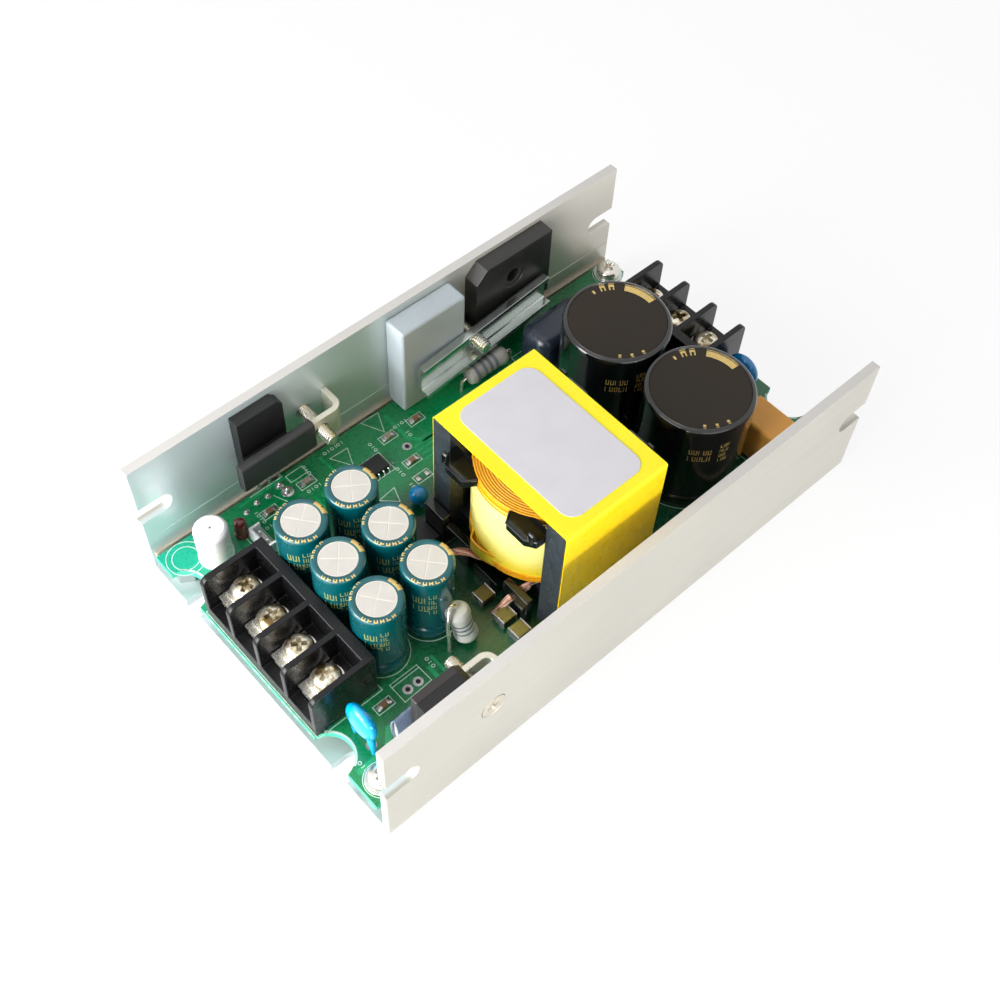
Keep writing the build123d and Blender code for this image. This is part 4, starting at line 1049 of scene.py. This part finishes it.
def bobbin():
    low, high = WINDOW
    piece = Piece("coil_former", "bobbin_black", "bobbin", place=at(CX, CY, 0))
    piece.add(hoop(7.5, 8.7, low, high, 56), GLOSS_BLACK)
    for z, reach in ((low, 13.2), (high - 2.4, 12.6)):
        flange = [(7.5, z), (reach - 0.2, z), (reach, z + 0.2), (reach, z + 1.0), (reach - 0.2, z + 1.2),
                  (7.5, z + 1.2), (7.5, z)]
        piece.add(turned(flange, 72), GLOSS_BLACK)
    for side in (-1, 1):
        for end in (-1, 1):
            ear = [(end * a, side * b) for a, b in ((10.8, 3.2), (13.5, 4.5), (15.7, 5.9), (15.7, 10.6), (14.4, 12.6),
                                                    (11, 12.8))]
            piece.add(soften(prism(ear, high - 2.3, high - 0.2), 0.2, 2, 40), GLOSS_BLACK)
            piece.add(tube([(x, y, high - 0.15) for x, y in ear[1:5]], 0.26, 8), GLOSS_BLACK)
            x, y, r = end * 14.9, side * 11.6, 0.45
            finger = [(x - end * r, high - 1.0), (x + end * r, high - 1.0), (x + end * r, high + 1.6)]
            finger += arc(x, high + 1.6, r, 0 if end > 0 else 180, 180 if end > 0 else 0, 6)[1:-1]
            finger += [(x - end * r, high + 1.6)]
            piece.add(soften(prism(finger, y - 0.65, y + 0.65, "Y"), 0.12, 2, 40), GLOSS_BLACK)
    for end in (-1, 1):
        x = sorted((end * 12.9, end * 14.7))
        for side in (-1, 1):
            piece.block(x, sorted((side * 5, side * 12)), (TOP, low + 1.2), GLOSS_BLACK, 0.3, 3)
        for y in (-10.6, -8.4, -6.2, 6.2, 8.4, 10.6):
            piece.add(tube([(end * 13.8, y, UNDER - 1.0), (end * 13.8, y, TOP + 0.5)], 0.4, 10), SOLDER)
    piece.block((-15.2, -12.9), (12.0, 17.6), (TOP, 17.0), GLOSS_BLACK, 0.3, 3)
    piece.block((-14.6, -11.0), (-3.2, 3.4), (TOP, 11.0), GLOSS_BLACK, 0.3, 3)
    piece.close()


def winding():
    """Coil under layers of yellow tape, with its last layers' edges a little apart and a loose skirt in front."""
    z0, z1 = CZ0 + 5.9, CZ1 - 4.75
    piece = Piece("taped_winding", "copper_strands", "winding", place=at(CX, CY, 0))
    rows = 22
    profile = [(9.0, z0)]
    for t in (k / rows for k in range(rows + 1)):
        profile.append((14.02 - 0.45 * abs(2 * t - 1) ** 4, z0 + 0.05 + (z1 - z0 - 0.1) * t))
    piece.add(turned(profile + [(9.0, z1), (9.0, z0)], 72), WOUND_TAPE)
    top = [(9.0, z1 - 0.2)]
    for r in (9.2 + 0.52 * k for k in range(9)):
        top += [(r, z1 - 0.02), (r + 0.14, z1 + 0.06), (r + 0.38, z1 + 0.06), (r + 0.5, z1 - 0.02)]
    piece.add(turned(top + [(13.9, z1 - 0.2)], 72), LAYER_TAPE)
    for z, r, h in ((z0 + 0.2, 13.9, 1.1), (z0 + 1.6, 14.04, 0.5), (z1 - 2.6, 14.06, 0.3), (z1 - 1.7, 14.02, 0.5),
                    (z1 - 0.9, 13.9, 0.75)):
        piece.add(turned([(13.2, z), (r, z), (r + 0.04, z + 0.05), (r + 0.04, z + h), (13.2, z + h), (13.2, z)], 72),
                  LAYER_TAPE)
    route = smooth_path([(x, y, 0) for x, y in ((-11.6, 8.2), (-12.9, 5.9), (-14.55, 4.5), (-14.7, 1.3), (-13.5, -2.45),
                                               (-11.7, -6.1), (-10.1, -9.6))], 5)
    for low, high, out, material in ((15.6, 18.6, 0.0, WOUND_TAPE), (15.3, 15.75, 0.03, LAYER_TAPE),
                                     (18.45, 18.9, 0.03, LAYER_TAPE)):
        outer = [(p.x * (1 + out / 14), p.y * (1 + out / 14)) for p in route]
        inner = [(p.x * 0.975, p.y * 0.975) for p in reversed(route)]
        piece.add(prism(outer + inner, low, high), material)
    piece.close()


def strands(piece, points, radius, count, wire, twist, materials, flat):
    """Bundle of fine wires that turn round one another along a route."""
    route = smooth_path(points, 7)
    lengths = [0.0]
    for a, b in zip(route, route[1:]):
        lengths.append(lengths[-1] + (b - a).length)
    golden_angle = 2.399963
    for k in range(count):
        r0 = radius * math.sqrt((k + 0.5) / count) * 0.95
        line = []
        for (p, u, v), length in zip(across(route), lengths):
            a = k * golden_angle + twist * length
            r = r0 * (1 + 0.06 * math.sin(0.9 * length + k))
            line.append(p + u * r * math.cos(a) + v * r * math.sin(a) * flat)
        piece.add(tube(line, wire, 5, round_ends=False), materials[k % len(materials)])


def winding_leads():
    """Two braided ends of the coil, bowed down to their solder points, one of them in two bundles."""
    piece = Piece("litz_leads", "copper_strands", "winding_leads")
    left = [(-16.2, -11.6, 14.4), (-17.2, -10.6, 14.2), (-18.8, -7.7, 14.0), (-20.7, -5.7, 13.2), (-21.5, -6.4, 10.4),
            (-21.5, -6.7, TOP)]
    strands(piece, left, 0.74, 30, 0.115, 0.25, [BRAID_PALE, BRAID_RED, BRAID], 0.55)
    for shift, bow, shades in ((0.0, 0.0, [BRAID_PALE, BRAID]), (0.75, 0.9, [BRAID, BRAID_PALE, BRAID_RED])):
        right = [(-12.9 - shift, -21.6 + shift, 14.2), (-15.0, -21.0 - bow * 0.4, 14.0 - bow * 0.4),
                 (-17.4, -20.0 - bow * 0.6, 12.6 - bow * 0.5), (-20.2, -19.3 - bow * 0.3, 9.6), (-21.5, -18.7, TOP)]
        strands(piece, right, 0.5, 20, 0.11, 0.12, shades, 0.8)
    piece.close(50)


core()
wrap(3)
label()
bobbin()
winding()
winding_leads()


# ---- parts clamped to the walls ----
def boot():
    shape = soften(box(*span("thermal_boot")), 0.7, 4)
    Piece("silicone_boot", "silicone_grey", "thermal_boot").add(shape, SILICONE).close()


def rectifier():
    (x0, x1), (y0, y1), _ = span("bridge_rectifier")
    z0, z1, corner = 14.7, 33.0, 3.0
    x, z = (x0 + x1) / 2, z1 - 6.8
    shape = prism([(x0, z0), (x1, z0), (x1, z1), (x0 + corner, z1), (x0, z1 - corner)], y0, y1, "Y")
    hole, dish = put(rod(1.7, -5, 5, 40), x, y0, z, 90, "X"), put(rod(2.9, -5, 0.35, 48), x, y0, z, -90, "X")
    piece = Piece("rectifier_package", "package_black", "bridge_rectifier")
    # painted sheen: the package is a paler black than the other packages
    piece.add(soften(combined(shape, [hole, dish]), 0.3, 3, 35), RECTIFIER_SHEEN)
    y = around(y1 - 1.9, 0.35)
    for px in (x + (k - 1.5) * 5.08 for k in range(4)):
        piece.block(around(px, 0.6), y, (TOP + 3.0, z0 + 0.2), SOLDER)
        piece.block(around(px, 0.35), y, (TOP - 2.6, TOP + 3.2), SOLDER)
    piece.close()


def clamp_bar():
    """Channel bar pressed from sheet, turned a little as it leans on the boot and the rectifier."""
    boot_thickness, rectifier_thickness, reach = 5.6, 3.8, 23.6
    lean = math.degrees(math.atan2(boot_thickness - rectifier_thickness, reach))
    z0, z1, sheet, lower, upper, bend, inner = 14.0, 22.0, 1.2, 3.2, 2.3, 0.9, 0.25
    profile = [(-lower, z0), (-bend, z0)] + arc(-bend, z0 + bend, bend, -90, 0, 4)
    profile += arc(-bend, z1 - bend, bend, 0, 90, 4) + [(-upper, z1), (-upper, z1 - sheet)]
    profile += [(-sheet - inner, z1 - sheet), (-sheet, z1 - sheet - inner), (-sheet, z0 + sheet + inner),
                (-sheet - inner, z0 + sheet), (-lower, z0 + sheet)]
    shape = combined(prism(profile, -14.44, 23.67, "X"), [put(rod(1.8, -6, 6), 2.3, 0, 18, 90, "X")])
    place = at(span("thermal_boot")[0][1], 30.4, 0, lean)
    Piece("zinc_channel", "zinc_steel", "clamp_bar").add(soften(shape, 0.14, 2, 45), ZINC, place).close()


PACKAGE_HALF = 5.35


def clamped_package(flip, x, name, stepped):
    """Transistor against a wall with its three legs. A stepped one is thinner above its foot."""
    x0, x1, wall, low = x - PACKAGE_HALF, x + PACKAGE_HALF, INNER_FACE, 16.1
    high, foot, corner = low + 16.2, low + 4.8, 1.4
    piece = Piece(f"{name}_transistor_body", "package_black", f"{name}_transistor", place=flip)
    bottom = foot if stepped else low
    outline = [(x0, bottom), (x1, bottom), (x1, high - corner), (x1 - corner, high), (x0, high)]
    if stepped:
        thick_foot = box((x0, x1), (wall - 4.5, wall), (low, foot))
        body = combined(prism(outline, wall - 2.7, wall, "Y"), [thick_foot], "UNION")
        body = combined(body, [box((x0 - 1, x1 + 1), (wall - 3.3, wall - 2.45), (low + 5.5, low + 6.0))])
        piece.add(soften(body, 0.28, 3, 35), PACKAGE)
    else:
        piece.add(soften(prism(outline, wall - 2.8, wall, "Y"), 0.2, 2, 35), PACKAGE)
        piece.add(soften(prism(outline, wall - 4.5, wall - 2.7, "Y"), 0.3, 3, 35), RUBBER_WARM)
    for k in (-1, 0, 1):
        piece.block(around(x + k * 2.54, 0.35), (wall - 1.7, wall - 1.0), (TOP - 2.4, low + 0.2), SOLDER)
    piece.close()


def almond_tube(stations, outer, inner, y, z):
    """Soft sleeve along X pressed flat, so that its open end is a pointed oval."""
    swings = [(math.copysign(abs(math.sin(a)) ** 1.5, math.sin(a)), math.cos(a)) for a in turns(32)]
    bm = bmesh.new()
    rings = []
    for x, (wide, tall) in list(zip(stations, outer)) + list(zip(stations[::-1], inner[::-1])):
        rings.append([bm.verts.new((x, y + wide * swing, z + tall * rise)) for swing, rise in swings])
    return loft(bm, rings, looped=True)


def strap_set(side, x, screw_x, trail, name):
    """Transistor, strap and sleeve on one wall, drawn for the far wall."""
    flip = Matrix.Diagonal((1, side, 1, 1))
    clamped_package(flip, x, name, side > 0)
    back = INNER_FACE - 5.0
    front = back - 1.3
    tip, heel, end = x - PACKAGE_HALF - 2.4, screw_x + 5.9, x + PACKAGE_HALF + trail
    z0, z1, bend = 17.5, 24.1, 2.5
    outline = [(tip, front)] + arc(heel - bend, front + bend, bend, -90, 0, 8) + [(heel, INNER_FACE)]
    outline += [(heel - 1.3, INNER_FACE)] + arc(heel - bend, front + bend, bend - 1.3, 0, -90, 8) + [(tip, back)]
    shape = combined(prism(outline, z0, z1), [put(rod(1.6, -8, 8), screw_x, back, 20.8, 90, "X")])
    strap = Piece(f"{name}_strap", "zinc_steel", f"{name}_clamp_strap", place=flip)
    strap.add(soften(shape, 0.2, 3, 40), STRAP).close()

    piece = Piece(f"{name}_sleeve", "sleeve_rubber", f"{name}_strap_sleeve", place=flip)
    low, high, swell, start = z0 - 0.5, z1 + 0.5, 0.5, tip + (-0.4 if side > 0 else 4.4)
    sleeve = prism(rounded(front - swell, back + swell, low, high, 0.85, 4), start, end, "X")
    hollow = prism(rounded(front - 0.12, back + 0.12, low + 0.45, high - 0.45, 0.5, 4), start - 1, end + 1, "X")
    piece.add(soften(combined(sleeve, [hollow]), 0.12, 2, 50), RUBBER if side > 0 else RUBBER_WARM)
    if side > 0:
        piece.add(box((tip - 0.3, tip - 0.05), (front - 0.2, back + 0.2), (z0 - 0.2, z1 + 0.2)), RUBBER)
    else:
        outer = [(1.15 + 0.07 * k, 3.7 + 0.08 * k) for k in range(5)]
        inner = [(a - 0.3, b - 0.45) for a, b in outer]
        stations = [tip - 0.4 + 1.3 * k for k in range(5)]
        # painted reflection: the sleeve's flattened left end is blue-grey for the bluish light on the black rubber
        piece.add(almond_tube(stations, outer, inner, (front + back) / 2, 21.3), RUBBER_BLUE_REFLECTION)
    piece.close()


boot()
rectifier()
clamp_bar()
strap_set(1, -35.75, -24.4, 4.1, "far")
strap_set(-1, -47.2, -39.05, 0.9, "near")


# ---- small parts on the board ----
def disc_part(node, shade, feet):
    """Dipped disc capacitor: a lens shape with drips down its two leads."""
    sx, sy, sz = span(node)
    x, y = middle(sx), middle(sy)
    radius, thick = (sy[1] - sy[0]) / 2, (sx[1] - sx[0]) / 2
    z = sz[1] - radius
    profile = [(0, -thick)]
    for a in (math.radians(-90 + 15 * k) for k in range(1, 12)):
        profile.append((radius * math.cos(a) ** 0.7, thick * math.sin(a)))
    piece = Piece(f"{node}_body", "epoxy_blue", node)
    piece.add(put(turned(profile + [(0, thick)], 48), x, y, z, 90, "Y"), shade)
    for end, (fx, fy) in zip((-1, 1), feet):
        leg = smooth_path([(x, y + end * 2.0, z - 1.5), ((x + fx) / 2, (y + end * 2.5 + fy) / 2, TOP + 3.2),
                           (fx, fy, TOP + 0.3)], 5)
        piece.add(tube(leg, [1.0 - 0.55 * i / (len(leg) - 1) for i in range(len(leg))], 12), shade)
        piece.add(tube([(fx, fy, TOP + 0.8), (fx, fy, UNDER - 1.2)], 0.36, 10), SOLDER)
    piece.close()


def bead_part():
    sx, sy, sz = span("bead_capacitor")
    x, y = middle(sx), middle(sy)
    radius = (sx[1] - sx[0]) / 2
    z = sz[1] - radius
    piece = Piece("bead_body", "epoxy_blue", "bead_capacitor")
    ball = [(0, z - radius)] + arc(0, z, radius, -78, 78, 13) + [(0, z + radius)]
    piece.add(turned(ball, 32), BLUE, at(x, y, 0))
    for end in (-1, 1):
        leg = [(x, y + end * 0.8, z - 1.2), (x, y + end * 1.0, TOP + 0.9), (x, y + end * 1.0, UNDER - 1)]
        piece.add(tube(leg, [0.7, 0.42, 0.38], 10), BLUE)
    piece.close()


def banded(piece, radius, length, material, place, bands, width):
    """Axial resistor's body, swollen at both ends, with bands at the given heights and radii."""
    ends = [(0, 0), (radius * 0.55, 0.05), (radius * 0.85, 0.35), (radius, 1.0), (radius, 2.0), (radius * 0.9, 2.7)]
    profile = ends + [(radius * 0.88, length / 2)] + [(r, length - h) for r, h in reversed(ends)]
    piece.add(turned(profile, 40), material, place)
    for z, share in bands:
        r = radius * share
        piece.add(hoop(r - 0.2, r + 0.02, z, z + width, 40), BAND_DARK, place)


def resistors():
    foot_x, foot_y = span("upright_resistor")[0][0] + 0.4, -19.3
    low, high = Vector((-28.75, -19.6, TOP + 1.0)), Vector((-29.9, -17.4, TOP + 10.0))
    lean = (high - low).normalized()
    tilt = Matrix.Translation(low) @ Vector((0, 0, 1)).rotation_difference(lean).to_matrix().to_4x4()
    piece = Piece("upright_resistor_body", "resistor_white", "upright_resistor")
    banded(piece, 2.42, 9.3, BAND_BODY, tilt, [(z, 0.9) for z in (2.9, 4.2, 5.4, 6.9)], 0.4)
    crest = high.z + 1.1
    route = smooth_path([high - lean * 0.3, (high.x - 0.3, high.y + 0.2, crest - 0.2),
                         (high.x - 1.5, high.y + 0.1, crest + 0.3), (foot_x + 0.6, high.y - 0.9, crest - 0.9),
                         (foot_x + 0.1, foot_y + 0.6, crest - 3.2), (foot_x, foot_y, TOP + 3),
                         (foot_x, foot_y, UNDER - 1.2)], 6)
    piece.add(tube(route, 0.4, 10), NICKEL)
    piece.add(tube([low + lean * 0.5, (low.x, low.y, TOP + 0.5), (low.x, low.y, UNDER - 1.2)], 0.4, 10), NICKEL)
    piece.close()

    x, y = centre("snubber_resistor")
    radius, half = 2.2, 5.5
    z = span("snubber_resistor")[2][1] - radius
    piece = Piece("snubber_body", "resistor_white", "snubber_resistor")
    # painted shade: the snubber's body is a greyer, shaded copy of the resistor body
    banded(piece, radius, 2 * half, BAND_SHADED, at(x - half, y, z, 90, "Y"),
           [(1.4, 1.005), (3.6, 0.9), (5.2, 0.9), (6.8, 0.9)], 0.8)
    for end in (-1, 1):
        lead = smooth_path([(x + end * (half - 0.5), y, z), (x + end * (half + 0.8), y, z),
                            (x + end * (half + 1.6), y, z - 0.9), (x + end * (half + 1.6), y, UNDER - 1)], 6)
        piece.add(tube(lead, 0.4, 10), NICKEL)
    piece.close()


def moulded(name, slot, node, material, bevel, segments):
    """Moulded block with rounded edges."""
    sx, sy, sz = span(node)
    return Piece(name, slot, node).block(sx, sy, (sz[0] + 0.02, sz[1]), material, bevel, segments)


def capsules():
    piece = moulded("film_block", "film_orange", "film_capacitor", ORANGE, 0.8, 4)
    x, y = centre("film_capacitor")
    for dy in (-5, 5):
        piece.add(tube([(x, y + dy, TOP + 0.4), (x, y + dy, UNDER - 1)], 0.4, 8), SOLDER)
    piece.close()
    sx, sy, sz = span("line_filter")
    shape = prism(rounded(*sx, *sy, 3.0, 6), sz[0] + 0.02, sz[1])
    soften(shape, 2.4, 5, 60, only=lambda p: p.z > sz[1] - 0.1)
    Piece("filter_block", "filter_dark", "line_filter").add(shape, FILTER).close()
    sx, sy, sz = span("input_fuse")
    r, h = (sx[1] - sx[0]) / 2, sz[1] - sz[0]
    profile = [(0, 0.02), (r - 0.4, 0.02), (r - 0.1, 0.3), (r, 0.6), (r, h - 0.9), (r - 0.25, h - 0.3), (r - 0.8, h),
               (0, h)]
    piece = Piece("fuse_can", "package_black", "input_fuse")
    piece.add(turned(profile, 48), FUSE_BODY, at(*centre("input_fuse"), TOP)).close()


def lamp(name, slot, node, material, flange, dome):
    """Round lens on a flange. Its dome is a share of its radius, small for a flat top."""
    sx, sy, sz = span(node)
    r, h = (sx[1] - sx[0]) / 2, sz[1] - TOP
    body = r - 0.12
    crown, flat = body * dome, body * (1 - dome)
    dome_line = arc(flat, h - crown, crown, 10, 90, 8)
    profile = [(0, 0.02), (r, 0.02), (r, flange), (body, flange + 0.1), (body, h - crown)]
    profile += (dome_line if flat else dome_line[:-1]) + [(0, h)]
    return Piece(name, slot, node, place=at(middle(sx), middle(sy), TOP)).add(turned(profile, 48), material)


def indicators():
    piece = lamp("white_lens", "lens_white", "indicator_lens", LENS, 1.2, 0.3)
    height = span("indicator_lens")[2][1] - TOP
    piece.add(turned([(0, 0), (0.28, 0), (0.24, 0.03), (0, 0.03)], 24), BAND_DARK, at(0, 0, height - 0.005))
    piece.add(hoop(2.55, 2.75, -0.05, 0.03), LENS, at(0, 0, height)).close()
    lamp("red_lamp_body", "lamp_red", "red_lamp", LAMP, 0.9, 1).close()
    sx, sy, sz = span("pin_header")
    hollow = box((sx[0] + 0.6, sx[1] + 1), (sy[0] + 0.6, sy[1] - 0.6), (sz[0] + 1.2, sz[1] + 2))
    shape = combined(box(sx, sy, (sz[0] + 0.02, sz[1])), [hollow])
    piece = Piece("header_socket", "header_white", "pin_header").add(soften(shape, 0.12, 2), WHITE_NYLON)
    x, y = middle(sx), middle(sy)
    for dy in (-1.25, 1.25):
        piece.block((x - 0.1, x + 0.4), around(y + dy, 0.25), (TOP + 0.9, sz[1] - 0.2), NICKEL)
    piece.close()


def leaded_chip(name, node, pins, pitch, along, reach):
    """Package with a row of bent legs on each long side, along x for 0 and along y for 1."""
    sizes = span(node)
    piece = Piece(name, "package_black", node)
    piece.block(sizes[0], sizes[1], (sizes[2][0] + 0.1, sizes[2][1]), PACKAGE, 0.18)
    for side in (-1, 1):
        for k in range(pins):
            route = []
            for out, lift in ((-0.2, 0.8), (0.25, 0.75), (0.45, 0.15), (reach, 0.1)):
                point = [0, 0, TOP + lift]
                point[along] = middle(sizes[along]) + (k - (pins - 1) / 2) * pitch
                point[1 - along] = sizes[1 - along][side > 0] + side * out
                route.append(point)
            piece.add(tube(smooth_path(route, 3), 0.17, 6), SOLDER)
    piece.close()


def block_capacitors():
    """Three chip capacitors with metal end caps."""
    piece = Piece("olive_blocks", "block_olive", "block_capacitors")
    x0, x1 = span("block_capacitors")[0]
    for y in (CY - 2.4, CY - 8.6, CY - 12.8):
        # painted light: each body is a shaded copy of the olive, under a lit copy on its top
        piece.block((x0 + 0.25, x1 - 0.25), around(y, 1.58), (TOP + 0.02, TOP + 2.2), OLIVE_SHADED_SIDE, 0.18, 3)
        piece.block((x0 + 0.3, x1 - 0.3), around(y, 1.5), (TOP + 1.9, TOP + 2.4), OLIVE_LIT_TOP, 0.2, 3)
        for low in (x0, x1 - 0.4):
            piece.block((low, low + 0.4), around(y, 1.6), (TOP + 0.01, TOP + 2.42), SOLDER, 0.14)
    piece.close()


x, y = centre("front_disc_capacitor")
disc_part("front_disc_capacitor", CYAN, ((x - 0.2, y - 3.2), (x, y + 2.54)))
x, y = centre("rear_disc_capacitor")
disc_part("rear_disc_capacitor", BLUE, ((x, y - 2.54), (x, y + 2.54)))
bead_part()
resistors()
capsules()
indicators()
leaded_chip("controller_package", "controller_chip", 4, 1.27, 0, 1.0)
leaded_chip("coupler_package", "coupler", 2, 2.54, 1, 0.5)
block_capacitors()
moulded("liner_sheet", "liner_film", "insulating_liner", LINER, 0.08, 1).close()


# ---- floor, light and camera ----
def stage():
    bpy.ops.mesh.primitive_plane_add(size=6.0, location=(0, 0, -0.0002))
    floor = bpy.context.object
    floor.name = "floor"
    made = Shader("pale_floor", 0.8)
    made.feed(made.shader, Base_Color=(0.9, 0.9, 0.9, 1))
    glow = made.feed(made.node("ShaderNodeEmission"), Color=(1, 1, 1, 1), Strength=1.03)
    mix = made.feed(made.node("ShaderNodeMixShader"), i0=made.times(made.seen(), 0.82),
                    i1=made.shader.outputs[0], i2=glow.outputs[0])
    made.feed(made.tree.nodes["Material Output"], Surface=mix.outputs[0])
    floor.data.materials.append(made.material)

    scene.world = bpy.data.worlds.new("studio")
    scene.world.use_nodes = True
    sky = Nodes(scene.world.node_tree)
    sky.feed(sky.tree.nodes["Background"], Color=(1, 1, 1, 1), Strength=sky.ranged(sky.seen(), 0, 1, 0.38, 1.0))


def light(name, place, target, size, power):
    data = bpy.data.lights.new(name, "AREA")
    data.shape = "SQUARE"
    data.size = size
    data.energy = power
    made = linked(name, data)
    made.location = place
    made.rotation_euler = (Vector(target) - Vector(place)).to_track_quat("-Z", "Y").to_euler()


def camera():
    place = Vector((-0.113192, -0.111049, 0.237940))
    ahead = Vector((0.39726, 0.39907, -0.82640)).normalized()
    right = ahead.cross(Vector((0, 0, 1))).normalized()
    up = right.cross(ahead)
    roll = math.radians(3.42)
    cam_x = right * math.cos(roll) + up * math.sin(roll)
    cam_y = up * math.cos(roll) - right * math.sin(roll)
    data = bpy.data.cameras.new("camera")
    data.lens = 48.60
    data.sensor_width = 36.0
    data.clip_start = 0.01
    scene.camera = linked("camera", data)
    scene.camera.matrix_world = Matrix.Translation(place) @ Matrix((cam_x, cam_y, -ahead)).transposed().to_4x4()


stage()
light("window", (-0.42, 0.04, 0.20), (0, 0, 0.02), 0.35, 3.5)
light("corner", (-0.20, 0.08, 0.12), (-0.06, 0.03, 0.01), 0.12, 0.15)
light("front", (-0.25, -0.12, 0.055), (-0.05, 0.03, 0.015), 0.12, 0.24)
light("side", (-0.02, -0.5, 0.05), (0, 0, 0.03), 0.1, 1.3)
light("over", (-0.1, 0.15, 0.9), (0, 0, 0), 0.6, 0.5)
light("fill", (-0.1, -0.6, 0.14), (0, 0, 0.02), 0.5, 0.9)
camera()
scene.view_settings.view_transform = "Standard"
